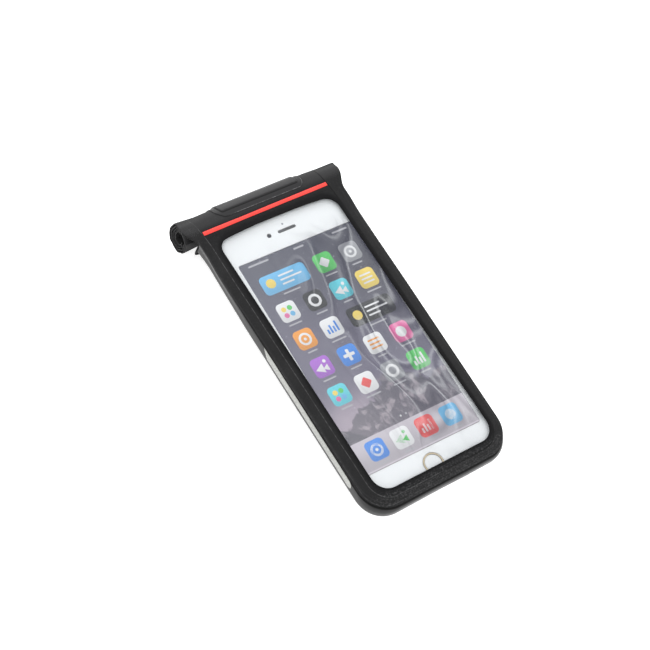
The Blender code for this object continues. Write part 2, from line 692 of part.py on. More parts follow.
def phone(pouch):
    """The phone in the pouch: metal body, fronted by glass with the display in it."""
    glass_low = PHONE_TOP - GLASS_DEPTH
    body = pouch.plate(
        "phone_body",
        rounded_rectangle(
            PHONE_WIDTH / 2, -PHONE_LENGTH / 2, PHONE_LENGTH / 2, PHONE_CORNER, steps=8
        ),
        PHONE_LOW, glass_low - GAP, "aluminium",
    )
    pouch.bevel(body, PHONE_EDGE, segments=4, angle=60.0)
    inset = PHONE_EDGE + GLASS_INSET - GAP
    glass = pouch.plate(
        "phone_front_glass",
        rounded_rectangle(
            PHONE_WIDTH / 2 - inset, -PHONE_LENGTH / 2 + inset, PHONE_LENGTH / 2 - inset,
            PHONE_CORNER - inset / 2, steps=8,
        ),
        glass_low, PHONE_TOP, "white_glass",
    )
    cut_low, cut_high = glass_low - CUT_OVER, PHONE_TOP + CUT_OVER
    panel = rounded_rectangle(DISPLAY_HALF, -DISPLAY_END, DISPLAY_END, DISPLAY_CORNER, steps=2)
    wide = rounded_rectangle(
        DISPLAY_HALF + GAP, -DISPLAY_END - GAP, DISPLAY_END + GAP, DISPLAY_CORNER + GAP, steps=2
    )
    display = pouch.plate("phone_display", panel, glass_low, PHONE_TOP, "display")
    cutters = [pouch.plate("display_cutter", wide, cut_low, cut_high)]

    home = (0.0, -DISPLAY_END - HOME_DROP)
    ring_inner = HOME_DIAMETER - 2 * RING_WALL
    ring = pouch.cylinder(
        "phone_home_ring", home, HOME_DIAMETER, glass_low, PHONE_TOP, "gold_ring", 40
    )
    bore = pouch.cylinder("ring_cutter", home, ring_inner, cut_low, cut_high, segments=40)
    button = pouch.cylinder(
        "phone_home_button", home, ring_inner - 2 * GAP, glass_low, PHONE_TOP - GAP / 2,
        "white_glass", 40,
    )
    cutters.append(pouch.cylinder(
        "home_cutter", home, HOME_DIAMETER + 2 * GAP, cut_low, cut_high, segments=40
    ))

    slot_y = DISPLAY_END + RECEIVER_RISE
    half, rise = RECEIVER_LENGTH / 2, RECEIVER_HEIGHT / 2
    rounding = rise * RECEIVER_ROUNDING
    mesh_outline = rounded_rectangle(half, slot_y - rise, slot_y + rise, rounding, steps=5)
    slot_outline = rounded_rectangle(
        half + GAP, slot_y - rise - GAP, slot_y + rise + GAP, rounding + GAP, steps=5
    )
    receiver = pouch.plate("phone_receiver", mesh_outline, glass_low, PHONE_TOP - GAP / 2, "dark")
    cutters.append(pouch.plate("receiver_cutter", slot_outline, cut_low, cut_high))

    lens_place = (-LENS_OFFSET_X, slot_y)
    lens = pouch.cylinder(
        "phone_lens", lens_place, LENS_DIAMETER, glass_low, PHONE_TOP - GAP / 2, "dark"
    )
    cutters.append(pouch.cylinder(
        "lens_cutter", lens_place, LENS_DIAMETER + 2 * GAP, cut_low, cut_high
    ))
    for cutter in cutters:
        pouch.combine(glass, cutter)
    pouch.combine(ring, bore)
    for piece in [body, glass, display, ring, bore, button, receiver, lens, *cutters]:
        phone_frame(piece)


def build():
    clear_scene()
    pouch = Pouch()
    front_panel(pouch)
    window_film(pouch)
    side_gusset(pouch)
    back_panel(pouch)
    roll_slat(pouch)
    closure_tapes(pouch)
    back_stack(pouch)
    mount_base(pouch)
    mount_screws(pouch)
    red_stripe(pouch)
    roll_patch(pouch)
    reflectors(pouch)
    phone(pouch)


build()
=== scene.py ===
"""Looks of a roll-top waterproof phone pouch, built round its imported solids.

Metres, in the solids' own frame: +Z up out of the window, +Y toward the rolled mouth.
"""

import logging
import math
from collections.abc import Callable, Iterable, Sequence
from dataclasses import dataclass, field
from enum import Enum

import bmesh
import bpy
from mathutils import Matrix, Vector


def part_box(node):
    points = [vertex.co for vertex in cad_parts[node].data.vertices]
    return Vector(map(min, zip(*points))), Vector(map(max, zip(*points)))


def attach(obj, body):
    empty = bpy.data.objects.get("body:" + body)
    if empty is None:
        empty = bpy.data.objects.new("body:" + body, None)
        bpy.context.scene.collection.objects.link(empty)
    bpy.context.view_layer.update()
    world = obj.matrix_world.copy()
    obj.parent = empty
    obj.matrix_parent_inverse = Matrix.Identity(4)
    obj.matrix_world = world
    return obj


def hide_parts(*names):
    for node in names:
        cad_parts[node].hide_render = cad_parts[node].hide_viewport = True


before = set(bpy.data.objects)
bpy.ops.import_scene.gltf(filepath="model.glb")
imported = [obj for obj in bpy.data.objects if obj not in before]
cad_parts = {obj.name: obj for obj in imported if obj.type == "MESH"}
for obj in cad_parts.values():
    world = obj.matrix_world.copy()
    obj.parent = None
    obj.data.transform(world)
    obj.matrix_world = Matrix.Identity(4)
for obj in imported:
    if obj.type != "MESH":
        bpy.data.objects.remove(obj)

log = logging.getLogger("pouch")
MM = 0.001
Point = tuple[float, float]
Colour = tuple[float, float, float]


def ease(value: float) -> float:
    """Smooth rise from 0 to 1 as value goes from 0 to 1."""
    value = min(max(value, 0.0), 1.0)
    return value * value * (3.0 - 2.0 * value)


def mix(a: float, b: float, share: float) -> float:
    """Straight blend from a to b."""
    return a + (b - a) * share


def arc(centre: Point, radius: float, start: float, end: float, steps: int) -> list[Point]:
    """Points on an arc, both ends included.

    Args:
        centre: Middle of the arc.
        radius: Its radius.
        start: First angle, in degrees.
        end: Last angle, in degrees.
        steps: Number of spans.

    Returns:
        The points in order.
    """
    angles = [math.radians(mix(start, end, i / steps)) for i in range(steps + 1)]
    return [(centre[0] + radius * math.cos(a), centre[1] + radius * math.sin(a)) for a in angles]


def resample(path: Sequence[Point], count: int) -> list[Point]:
    """Even points along a path.

    Args:
        path: Points of the path.
        count: Number of spans wanted.

    Returns:
        count + 1 points, the path's two ends included.
    """
    lengths = [0.0]
    for a, b in zip(path, path[1:]):
        lengths.append(lengths[-1] + math.dist(a, b))
    found, at = [], 0
    for i in range(count + 1):
        wanted = lengths[-1] * i / count
        while at < len(path) - 2 and lengths[at + 1] < wanted:
            at += 1
        share = (wanted - lengths[at]) / max(lengths[at + 1] - lengths[at], 1e-12)
        a, b = path[at], path[at + 1]
        found.append((mix(a[0], b[0], share), mix(a[1], b[1], share)))
    return found


def mirrored(path: Sequence[Point]) -> list[Point]:
    """A path on the other side of the middle plane, in the opposite order."""
    return [(-x, y) for x, y in path[::-1]]


def waver(x: float, y: float, seed: float = 0.0) -> float:
    """Slow unevenness of hand-laid fabric, between about -1 and 1."""
    a = math.sin(x * 97.0 + y * 61.0 + seed) + math.sin(x * -53.0 + y * 131.0 + seed * 2.3)
    b = math.sin(x * 211.0 - y * 167.0 + seed * 0.7)
    return (a + 0.6 * b) / 2.6


# ---------------------------------------------------------------- shading


def arithmetic(operation: str, first: bool = True) -> Callable[..., "Signal"]:
    """A method of a number that joins it with others.

    Args:
        operation: Name of the Math node's operation.
        first: Whether the number itself is the first operand.

    Returns:
        The method.
    """

    def method(self: "Signal", *others: "Signal | float") -> "Signal":
        """Join the numbers in one Math node."""
        return self.math(operation, *others, first=first)

    return method


class Signal:
    """A number in a node tree that takes part in plain arithmetic."""

    def __init__(self, recipe: "Recipe", socket: bpy.types.NodeSocket) -> None:
        """Wrap an output socket of a recipe."""
        self.recipe = recipe
        self.socket = socket

    def math(self, operation: str, *others: "Signal | float", first: bool = True) -> "Signal":
        """Join this number and others in one Math node.

        Args:
            operation: Name of the node's operation.
            others: The other operands.
            first: Whether this number is the first operand.

        Returns:
            The result.
        """
        values = [self, *others] if first else [*others, self]
        node = self.recipe.node("ShaderNodeMath", dict(enumerate(values)), operation=operation)
        return Signal(self.recipe, node.outputs[0])

    __add__ = __radd__ = arithmetic("ADD")
    __sub__ = arithmetic("SUBTRACT")
    __rsub__ = arithmetic("SUBTRACT", first=False)
    __mul__ = __rmul__ = arithmetic("MULTIPLY")
    __truediv__ = arithmetic("DIVIDE")
    __pow__ = arithmetic("POWER")
    __abs__ = arithmetic("ABSOLUTE")
    most = arithmetic("MAXIMUM")
    least = arithmetic("MINIMUM")

    def rise(self, low: float, high: float) -> "Signal":
        """Smooth step from 0 at low to 1 at high."""
        node = self.recipe.node(
            "ShaderNodeMapRange",
            {"Value": self, "From Min": low, "From Max": high},
            interpolation_type="SMOOTHSTEP",
        )
        return Signal(self.recipe, node.outputs["Result"])

    def line(self, at: float, half: float) -> "Signal":
        """1 at a value, fading to 0 within half of it on both sides."""
        return 1.0 - abs(self - at).rise(0.0, half)


class Recipe:
    """One material's node tree, filled through a single node-making method."""

    def __init__(self, name: str) -> None:
        """Start an empty material of that name."""
        self.material = bpy.data.materials.new(name)
        self.material.use_nodes = True
        self.tree = self.material.node_tree
        self.tree.nodes.clear()
        self.output = self.tree.nodes.new("ShaderNodeOutputMaterial")
        self.place = self.node("ShaderNodeTexCoord", {}).outputs["Object"]

    def node(self, kind: str, values: dict, **settings: object) -> bpy.types.Node:
        """Add a node.

        Args:
            kind: The node's type.
            values: Input name or number to a socket, a Signal or a constant.
            settings: Attributes to set on the node first.

        Returns:
            The node.
        """
        node = self.tree.nodes.new(kind)
        for key, value in settings.items():
            setattr(node, key, value)
        for key, value in values.items():
            if isinstance(value, Signal):
                value = value.socket
            if isinstance(value, bpy.types.NodeSocket):
                self.tree.links.new(value, node.inputs[key])
            else:
                node.inputs[key].default_value = value
        return node

    def axes(self) -> tuple[Signal, Signal, Signal]:
        """The three object coordinates."""
        node = self.node("ShaderNodeSeparateXYZ", {0: self.place})
        return tuple(Signal(self, output) for output in node.outputs)

    def noise(self, scale: float, detail: float = 2.0, stretch: Colour = (1, 1, 1),
              warp: float = 0.0) -> Signal:
        """Soft noise on object coordinates.

        Args:
            scale: Features in a metre.
            detail: Octaves.
            stretch: Factor on each axis.
            warp: How much it is folded into itself.

        Returns:
            The noise, about 0.5 in the middle.
        """
        place = self.node(
            "ShaderNodeVectorMath", {0: self.place, 1: stretch}, operation="MULTIPLY"
        ).outputs[0]
        values = {"Vector": place, "Scale": scale, "Detail": detail, "Distortion": warp}
        node = self.node("ShaderNodeTexNoise", values)
        return Signal(self, node.outputs["Fac"])

    def cells(self, scale: float, feature: str = "F1") -> Signal:
        """Distance in a cell pattern with that many cells in a metre."""
        node = self.node(
            "ShaderNodeTexVoronoi", {"Vector": self.place, "Scale": scale}, feature=feature
        )
        return Signal(self, node.outputs["Distance"])

    def blend(self, share: Signal, a: object, b: object) -> bpy.types.NodeSocket:
        """Colour a turning into colour b.

        Args:
            share: How much of b there is.
            a: Colour or colour socket.
            b: Colour or colour socket.

        Returns:
            The mixed colour.
        """
        node = self.node("ShaderNodeMix", {"Factor": share}, data_type="RGBA")
        for socket, value in zip(node.inputs[6:8], (a, b)):
            if isinstance(value, bpy.types.NodeSocket):
                self.tree.links.new(value, socket)
            else:
                socket.default_value = (*value, 1.0)
        return node.outputs[2]

    def relief(self, height: Signal, distance: float, strength: float = 1.0) -> object:
        """Normal of a surface with that relief."""
        values = {"Height": height, "Distance": distance, "Strength": strength}
        return self.node("ShaderNodeBump", values).outputs["Normal"]

    def surface(self, colour: object, roughness: object, **values: object) -> bpy.types.Node:
        """A Principled surface.

        Args:
            colour: Base colour or a socket.
            roughness: Number or Signal.
            values: Other inputs, with _ for a space in their names.

        Returns:
            The shader node.
        """
        if not isinstance(colour, bpy.types.NodeSocket):
            colour = (*colour, 1.0)
        inputs = {"Base Color": colour, "Roughness": roughness}
        inputs |= {key.replace("_", " "): value for key, value in values.items()}
        return self.node("ShaderNodeBsdfPrincipled", inputs)

    def finish(self, colour: object, roughness: object, **values: object) -> bpy.types.Material:
        """The material, when one Principled surface is all of it."""
        return self.done(self.surface(colour, roughness, **values))

    def done(self, shader: bpy.types.Node) -> bpy.types.Material:
        """Connect the shader to the output and give the material."""
        self.tree.links.new(shader.outputs[0], self.output.inputs["Surface"])
        return self.material


def rounded_distance(x: Signal, y: Signal, half: Point, middle_y: float, radius: float) -> Signal:
    """Distance outside a rounded rectangle, negative inside it.

    Args:
        x: Coordinate across.
        y: Coordinate along.
        half: Half width and half height.
        middle_y: Place of its middle.
        radius: Corner radius.

    Returns:
        The distance in metres.
    """
    across = abs(x) - (half[0] - radius)
    along = abs(y - middle_y) - (half[1] - radius)
    outside = (across.most(0.0) ** 2.0 + along.most(0.0) ** 2.0) ** 0.5
    return outside + across.most(along).least(0.0) - radius


# ---------------------------------------------------------------- shared sizes


@dataclass(frozen=True)
class Stock:
    """Sheet stock and the levels that all sub-assemblies share."""

    sheet: float = 0.8 * MM
    gap: float = 0.3 * MM
    face: float = 19.5 * MM
    rear: float = 6.8 * MM
    neck: float = 72.29 * MM
    roll: float = 80.79 * MM
    bottom: float = -87.45 * MM
    belly_bottom: float = -89.19 * MM
    edge_half: float = 42.926 * MM
    bulge: float = 0.3 * MM
    heel_reach: float = 4.0 * MM
    corner: float = 15.2 * MM
    tuck: float = 1.0 * MM
    tuck_length: float = 60.0 * MM
    spread: float = 3.0 * MM
    roll_half: float = 47.626 * MM
    bend: float = 1.4 * MM
    layer: float = 1.1 * MM

    def lean(self, y: float) -> float:
        """How far the wall leans in toward the neck."""
        return self.tuck * ease((y - self.neck + self.tuck_length) / self.tuck_length)

    def half(self, y: float, edge: float) -> float:
        """Half width of a sheet that widens from an edge to the roll."""
        lead = self.spread - self.neck
        return mix(edge, self.roll_half, ease((y + lead) / (self.roll + lead)))

    def front_half(self, y: float) -> float:
        """Half width of the front sheet up to the roll."""
        return self.half(y, self.edge_half + self.sheet / 2)


STOCK = Stock()


@dataclass(frozen=True)
class Opening:
    """Outline of the window in the front sheet."""

    half: float = 34.826 * MM
    low: float = -79.39 * MM
    high: float = 69.49 * MM
    low_radius: float = 8.2 * MM
    high_radius: float = 6.8 * MM
    bow: float = 1.1 * MM

    lean: float = 0.0113
    slope: float = 0.006

    def askew(self, at: Point) -> Point:
        """Where a point of the straight outline really lies, as the opening is a little turned."""
        x, y = at
        low = 1.0 - ease((y - self.low) / (100 * MM))
        return x * (1.0 + 0.012 * low) - self.lean * y, y - self.slope * x - 0.3 * MM * low

    def quarter(self, top: bool, first: bool) -> list[Point]:
        """Half of one right-hand corner's arc.

        Args:
            top: Whether it is the upper corner.
            first: Whether it is the half beside the long side.

        Returns:
            Points from the long side toward the end, or in the other half on to the end.
        """
        radius = self.high_radius if top else self.low_radius
        span = (0, 45) if first else (45, 90)
        found = []
        for dx, dy in arc((0.0, 0.0), radius, *span, 8):
            x = self.half - radius + dx
            y = self.high - radius + dy if top else self.low + radius - dy
            if top:
                y -= self.bow * min(x / (self.half - radius), 1.0) ** 2
            found.append((x, y))
        return found

    def top_edge(self) -> list[Point]:
        """The bowed upper edge from right to left, between the corners' arcs."""
        flat = self.half - self.high_radius
        shares = [1 - 2 * i / 24 for i in range(25)]
        return [(flat * s, self.high - self.bow * s * s) for s in shares]


OPENING = Opening()


@dataclass(frozen=True)
class Spiral:
    """The flattened spiral that both sheets follow in the rolled closure."""

    y: float = STOCK.roll
    z: float = 11.1 * MM
    width: float = 7.4 * MM
    depth: float = 8.4 * MM
    pitch: float = 2.4 * MM
    turns: float = 1.75
    squareness: float = 2.5
    facets: int = 7
    crease: float = 1.0
    flare: float = 0.13

    def point(self, angle: float, offset: float, x: float) -> Point:
        """A point of one layer.

        Args:
            angle: Degrees past the top of the roll.
            offset: Distance outward from the front sheet's middle.
            x: Place along the roll.

        Returns:
            Its y and z.
        """
        done = angle / 360.0
        span = 360.0 / self.facets
        reach = abs(x) / STOCK.roll_half
        local = (angle + 9.0 * waver(x * 0.35, 0.0, 1.7) + 14.0) % span - span / 2
        corner = math.cos(math.radians(span / 2)) / math.cos(math.radians(local))
        share = self.crease * mix(0.25, 1.0, ease((reach - 0.60) / 0.3)) * ease(angle / 40.0)
        scale = 1.0 - share * (1.0 - corner)
        scale *= 1.0 + self.flare * ease((-x / STOCK.roll_half - 0.72) / 0.28) * ease(angle / 60.0)
        across, up = math.sin(math.radians(angle)), math.cos(math.radians(angle))
        power = 2.0 / self.squareness
        width = (self.width - self.pitch * done) * scale + offset
        depth = (self.depth - self.pitch * done) * scale + offset
        y = self.y + width * math.copysign(abs(across) ** power, across)
        z = self.z + depth * math.copysign(abs(up) ** power, up)
        return y, z

    def stations(self, steps: int) -> list[float]:
        """Angles of even spans over the whole winding."""
        last = 360.0 * self.turns
        return [last * i / steps for i in range(steps + 1)]


SPIRAL = Spiral()


@dataclass(frozen=True)
class Lay:
    """How this pouch lies: sagging borders and a mouth rolled a little askew."""

    sag: float = 1.8 * MM
    upper_sag: float = 0.6 * MM
    sag_end: float = 54 * MM
    shift: float = 1.5 * MM
    drop: float = 0.4 * MM
    skew: float = 0.015
    straight_end: float = 60 * MM
    fade: float = 20 * MM

    def sagging(self, y: float) -> float:
        """How far the outer edge hangs below the face at a place along it."""
        full = self.sag + self.upper_sag * ease(y / (50 * MM))
        return full * (1.0 - ease((y - self.sag_end) / self.fade))

    def push(self, x: float, y: float) -> float:
        """How far the wall is pressed in at a place along it."""
        return 0.22 * MM * abs(waver(y * 0.7, x * 0.7, 2.0))

    def roll(self, x: float, y: float, share: float = 1.0) -> Point:
        """Where a point of the roll comes to lie, or with a share of its shift."""
        return x - self.shift * share, y - share * (self.drop + self.skew * x)

    def place(self, x: float, y: float) -> Point:
        """Where a point of the flat fabric comes to lie."""
        return self.roll(x, y, ease((y - self.straight_end) / self.fade))


LAY = Lay()


# ---------------------------------------------------------------- making pieces


def mapped(
    columns: int, rows: int, place: Callable[[int, int], Sequence[float]]
) -> bmesh.types.BMesh:
    """A grid laid out by a function.

    Args:
        columns: Spans across.
        rows: Spans along.
        place: Gives the position of column i and row j.

    Returns:
        The shape.
    """
    shape = bmesh.new()
    bmesh.ops.create_grid(shape, x_segments=columns, y_segments=rows, size=0.5)
    for vert in shape.verts:
        i = round((vert.co.x + 0.5) * columns)
        j = round((vert.co.y + 0.5) * rows)
        vert.co = place(i, j)
    return shape


def weld(shape: bmesh.types.BMesh, *others: bmesh.types.BMesh) -> bmesh.types.BMesh:
    """Join shapes whose edges meet.

    Args:
        shape: The shape that takes the others in.
        others: Shapes to add, which are freed.

    Returns:
        The first shape.
    """
    for other in others:
        mesh = bpy.data.meshes.new("join")
        other.to_mesh(mesh)
        other.free()
        shape.from_mesh(mesh)
        bpy.data.meshes.remove(mesh)
    bmesh.ops.remove_doubles(shape, verts=shape.verts, dist=1e-6)
    bmesh.ops.recalc_face_normals(shape, faces=shape.faces)
    return shape


def make(
    name: str,
    shape: bmesh.types.BMesh,
    materials: Iterable[bpy.types.Material],
    replaces: Iterable[str] = (),
) -> bpy.types.Object:
    """Turn a shape into a piece that rides on the part.

    Args:
        name: The piece's name.
        shape: Its mesh, which is freed.
        materials: Its materials.
        replaces: Solids that it stands for.

    Returns:
        The piece.
    """
    mesh = bpy.data.meshes.new(name)
    shape.to_mesh(mesh)
    shape.free()
    mesh.shade_smooth()
    for material in materials:
        mesh.materials.append(material)
    piece = bpy.data.objects.new(name, mesh)
    bpy.context.scene.collection.objects.link(piece)
    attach(piece, "pouch")
    if replaces:
        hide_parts(*replaces)
    log.info("%s: %d faces", name, len(mesh.polygons))
    return piece


def thicken(piece: bpy.types.Object, thickness: float, rim: int = 0, levels: int = 1) -> None:
    """Give a sheet its thickness, rounded cut edges and smooth bends.

    Args:
        piece: The sheet, as its middle surface.
        thickness: Its thickness.
        rim: Material offset of the cut edge.
        levels: Subdivision levels.
    """
    wall = piece.modifiers.new("sheet", "SOLIDIFY")
    wall.thickness = thickness
    wall.offset = 0.0
    wall.use_even_offset = True
    wall.material_offset_rim = rim
    edge = piece.modifiers.new("edge", "BEVEL")
    edge.width = thickness * 0.25
    edge.segments = 1
    edge.limit_method = "ANGLE"
    edge.angle_limit = math.radians(50)
    if levels:
        smooth = piece.modifiers.new("bends", "SUBSURF")
        smooth.levels = smooth.render_levels = levels


def dress(node: str, material: bpy.types.Material) -> None:
    """Give a solid that stays its finish."""
    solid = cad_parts[node]
    solid.data.materials.clear()
    solid.data.materials.append(material)
    log.info("%s keeps its solid", node)


# ---------------------------------------------------------------- finishes


# Painted shadow: near-black for shadow lines along steps and edges.
PAINTED_SHADOW: Colour = (0.001, 0.001, 0.001)


@dataclass(frozen=True)
class FrontFabric:
    """Matte coated fabric: an inner panel round the window and smoother side bands, with a painted
    highlight along the seam and weld lines on the lit side, a painted shadow line along the panel's
    edge on the other side and a painted sheen over the roll.

    The panel and the weld line outside it are rounded outlines with their upper ends beyond
    the roll, at far.
    """

    colour: Colour = (0.0085, 0.0086, 0.0092)
    band: Colour = (0.0125, 0.0125, 0.0130)
    near_window: Colour = (0.0035, 0.0035, 0.0040)
    # Colour of dirt specks, and of the painted highlight on the seam and weld lines.
    rolled: Colour = (0.034, 0.034, 0.035)
    # Painted sheen on the fabric turned over the roll.
    dust_and_highlight_colour: Colour = (0.080, 0.080, 0.082)
    worn: Colour = (0.105, 0.105, 0.106)
    roughness: float = 0.58
    panel_half: float = 37.65 * MM
    panel_middle: float = -0.95 * MM
    panel_lean: float = 0.0105
    panel_border: float = 4.3 * MM
    panel_corner: float = 11.0 * MM
    weld_half: float = 42.3 * MM
    weld_middle: float = -1.09 * MM
    weld_lean: float = 0.0132
    weld_low: float = -86.7 * MM
    weld_corner: float = 12.6 * MM
    far: float = 0.125

    def make(self) -> bpy.types.Material:
        """The material."""
        r = Recipe("front_fabric")
        x, y, _ = r.axes()
        middle = (OPENING.low + OPENING.high) / 2
        rise = (OPENING.high - OPENING.low) / 2
        turned = (x + y * OPENING.lean, y + x * OPENING.slope)
        d = rounded_distance(*turned, (OPENING.half, rise), middle, OPENING.low_radius)
        near = 1.0 - d.rise(0.6 * MM, 3.4 * MM)
        wander = (r.noise(70.0, 2.0) - 0.5) * (0.5 * MM)
        upper = (y - 62 * MM).most(0.0)
        lean = self.panel_middle - y * self.panel_lean - upper * upper * 5.0
        size = (self.panel_half, self.far - OPENING.low + self.panel_border)
        p = rounded_distance(x - lean + wander * 0.5, y, size, self.far, self.panel_corner)
        band = p.rise(-0.05 * MM, 0.15 * MM)
        across = x - self.weld_middle + y * self.weld_lean
        size = (self.weld_half, self.far - self.weld_low)
        q = rounded_distance(across, y, size, self.far, self.weld_corner)
        dashes = 0.35 + 0.65 * r.noise(620.0, 1.0).rise(0.42, 0.58)
        flat = 1.0 - y.rise(70 * MM, 76 * MM)
        seam = p.line(0.0, 0.24 * MM)
        weld_line = q.line(0.0, 0.22 * MM) * flat
        lit_side = 0.45 + 0.55 * (1.0 - x.rise(-6 * MM, 6 * MM))
        rim_line = d.line(7.9 * MM, 0.35 * MM) * (1.0 - y.rise(60 * MM, 70 * MM))
        bottom = 1.0 - y.rise(-81.5 * MM, -78.5 * MM)
        ridges = ((d + wander * 0.6) * 6400.0).math("SINE").most(0.0) * bottom
        ridges = ridges * d.rise(1.2 * MM, 1.8 * MM) * (1.0 - d.rise(6.4 * MM, 7.0 * MM))
        grain = r.noise(2600.0, 3.0)
        cloth = r.noise(1100.0, 2.0)
        patchy = r.noise(45.0, 3.0)
        speck = r.noise(1500.0, 1.0).rise(0.70, 0.76) * r.noise(300.0, 1.0).rise(0.52, 0.62)
        rubbed = ((x + 44 * MM) ** 2.0 + (y - 78.5 * MM) ** 2.0) ** 0.5
        rubbed = (1.0 - rubbed.rise(0.5 * MM, 4.5 * MM)) * r.noise(2600.0, 3.0).rise(0.50, 0.68)
        # Specks, patchy dirt, grain and ridges are the fabric's own; the seam and weld lines are
        # lightened on the lit left side as a painted highlight.
        dust_and_highlight = speck * 0.30 + (patchy - 0.45).most(0.0) * 0.22 + seam * lit_side * dashes * 0.95
        dust_and_highlight = dust_and_highlight + weld_line * lit_side * dashes * 0.60
        dust_and_highlight = dust_and_highlight + ridges * (0.06 + 0.5 * (cloth - 0.42).most(0.0)) + rim_line * 0.12
        dust_and_highlight = dust_and_highlight + bottom * (cloth - 0.50).most(0.0) * 1.9 + (grain - 0.5).most(0.0) * 0.8
        dust_and_highlight = dust_and_highlight * (1.0 - near * 0.8)
        height = grain * (1.0 - near * 0.6) * 0.3 + cloth * (0.2 + bottom * 0.4)
        height = height + ridges * 0.5 - seam * 0.6 - weld_line * 0.3 + rim_line * 0.4
        colour = r.blend(band, self.colour, self.band)
        colour = r.blend(near, colour, self.near_window)
        # Painted sheen: the fabric over the roll is lightened where it curves toward the light.
        colour = r.blend(y.rise(75.5 * MM, 80 * MM) * 0.8, colour, self.rolled)
        colour = r.blend(dust_and_highlight.least(1.0), colour, self.dust_and_highlight_colour)
        # Painted shadow: a dark line along the panel's edge on the side away from the light.
        painted_step_shadow = p.line(0.0, 0.45 * MM) * (1.0 - lit_side) * 1.6
        colour = r.blend(painted_step_shadow.least(1.0), colour, PAINTED_SHADOW)
        colour = r.blend(rubbed * 0.4, colour, self.worn)
        rough = self.roughness + (grain - 0.5) * 0.25 - band * 0.10 - near * 0.10
        return r.finish(
            colour, rough, Normal=r.relief(height, 0.12 * MM, 0.8), Specular_IOR_Level=0.10
        )


@dataclass(frozen=True)
class WallFabric:
    """Smoother coated fabric, with a painted shade line where the walls meet the face, beneath its
    edge.
    """

    name: str = "wall_fabric"
    colour: Colour = (0.0150, 0.0150, 0.0155)
    worn: Colour = (0.045, 0.045, 0.046)
    # Colour of the painted shade beneath the face's edge.
    painted_edge_shade: Colour = (0.0015, 0.0015, 0.0015)
    roughness: float = 0.34
    grain: float = 1800.0
    shade: float = 16.25 * MM
    shaded: bool = True

    def make(self) -> bpy.types.Material:
        """The material."""
        r = Recipe(self.name)
        _, y, z = r.axes()
        raised = y.rise(LAY.sag_end, LAY.sag_end + LAY.fade) * (LAY.sag + LAY.upper_sag)
        # Painted shade: the wall's top band beneath the face's edge is darkened where the face
        # shades it.
        painted_edge_shade = (z - raised).rise(self.shade, self.shade + 0.25 * MM) * float(self.shaded)
        grain = r.noise(self.grain, 3.0)
        slow = r.noise(90.0, 3.0, (1.0, 0.45, 1.0))
        scuff = r.noise(420.0, 4.0, (1.0, 0.2, 1.0)).rise(0.60, 0.78)
        colour = r.blend(scuff * 0.35 + (slow - 0.5).most(0.0) * 0.6, self.colour, self.worn)
        colour = r.blend(painted_edge_shade, colour, self.painted_edge_shade)
        rough = self.roughness + (slow - 0.5) * 0.22 + (grain - 0.5) * 0.12 + painted_edge_shade * 0.5
        height = grain * 0.22 + slow * 0.8
        return r.finish(
            colour, rough, Normal=r.relief(height, 0.10 * MM, 0.7), Specular_IOR_Level=0.32
        )


@dataclass(frozen=True)
class CutEdge:
    """Raw edge of the coated fabric, a little lighter than its faces."""

    colour: Colour = (0.020, 0.020, 0.021)
    core: Colour = (0.003, 0.003, 0.003)

    def make(self) -> bpy.types.Material:
        """The material."""
        r = Recipe("cut_edge")
        fibre = r.noise(2400.0, 2.0)
        return r.finish(
            r.blend(fibre.rise(0.40, 0.62), self.core, self.colour), 0.62,
            Normal=r.relief(fibre, 0.08 * MM, 0.6), Specular_IOR_Level=0.12,
        )


@dataclass(frozen=True)
class ClearFilm:
    """Soft clear film with a faint haze and slow swirls, with painted shade in the folds' hollows
    and between the swirl bands on the right.
    """

    tint: Colour = (0.990, 0.995, 0.998)
    haze: float = 0.006
    # Colour of the painted shade in the film's folds.
    shadow: Colour = (0.03, 0.03, 0.05)

    def make(self) -> bpy.types.Material:
        """The material."""
        r = Recipe("clear_film")
        x, y, _ = r.axes()
        swirl = r.noise(26.0, 2.0, (1.0, 0.6, 1.0))
        folds = r.noise(26.0, 1.2, (1.3, 0.5, 1.0), 1.1)
        right = x.rise(-24 * MM, 20 * MM) * (1.0 - y.rise(40 * MM, 62 * MM))
        right = right * (0.15 + 0.85 * y.rise(-72 * MM, -62 * MM))
        lines = folds.line(0.45, 0.022) + folds.line(0.56, 0.026) + folds.line(0.64, 0.020)
        lines = lines * right
        # Painted shade in the hollows of the film's folds.
        painted_fold_shade = (folds.line(0.485, 0.034) + folds.line(0.60, 0.034)) * right
        bands = ((folds * 34.0).math("SINE") * 0.5 + 0.5) * right
        milk = (1.0 - x.rise(-34 * MM, 6 * MM)) * (0.35 + 0.9 * (swirl - 0.3).most(0.0))
        height = swirl + lines * 0.10
        normal = r.relief(height, 1.4 * MM, 0.6)
        clear = r.node("ShaderNodeBsdfTransparent", {"Color": (*self.tint, 1.0)})
        gloss = r.surface((0.80, 0.82, 0.84), 0.09, Normal=normal, Specular_IOR_Level=0.5)
        sight = r.node("ShaderNodeFresnel", {"IOR": 1.5, "Normal": normal}).outputs[0]
        share = Signal(r, sight) * 0.45 + self.haze + milk * 0.045 + lines * 0.110 + bands * 0.012
        both = r.node(
            "ShaderNodeMixShader", {0: share, 1: clear.outputs[0], 2: gloss.outputs[0]}
        )
        # Painted shade: an opaque dark surface blended in over the fold hollows and between the
        # bands.
        dark = r.surface(self.shadow, 0.5, Specular_IOR_Level=0.0)
        dim = painted_fold_shade * 0.15 + (1.0 - bands) * right * 0.05
        swirled = r.node("ShaderNodeMixShader", {0: dim, 1: both.outputs[0], 2: dark.outputs[0]})
        return r.done(swirled)


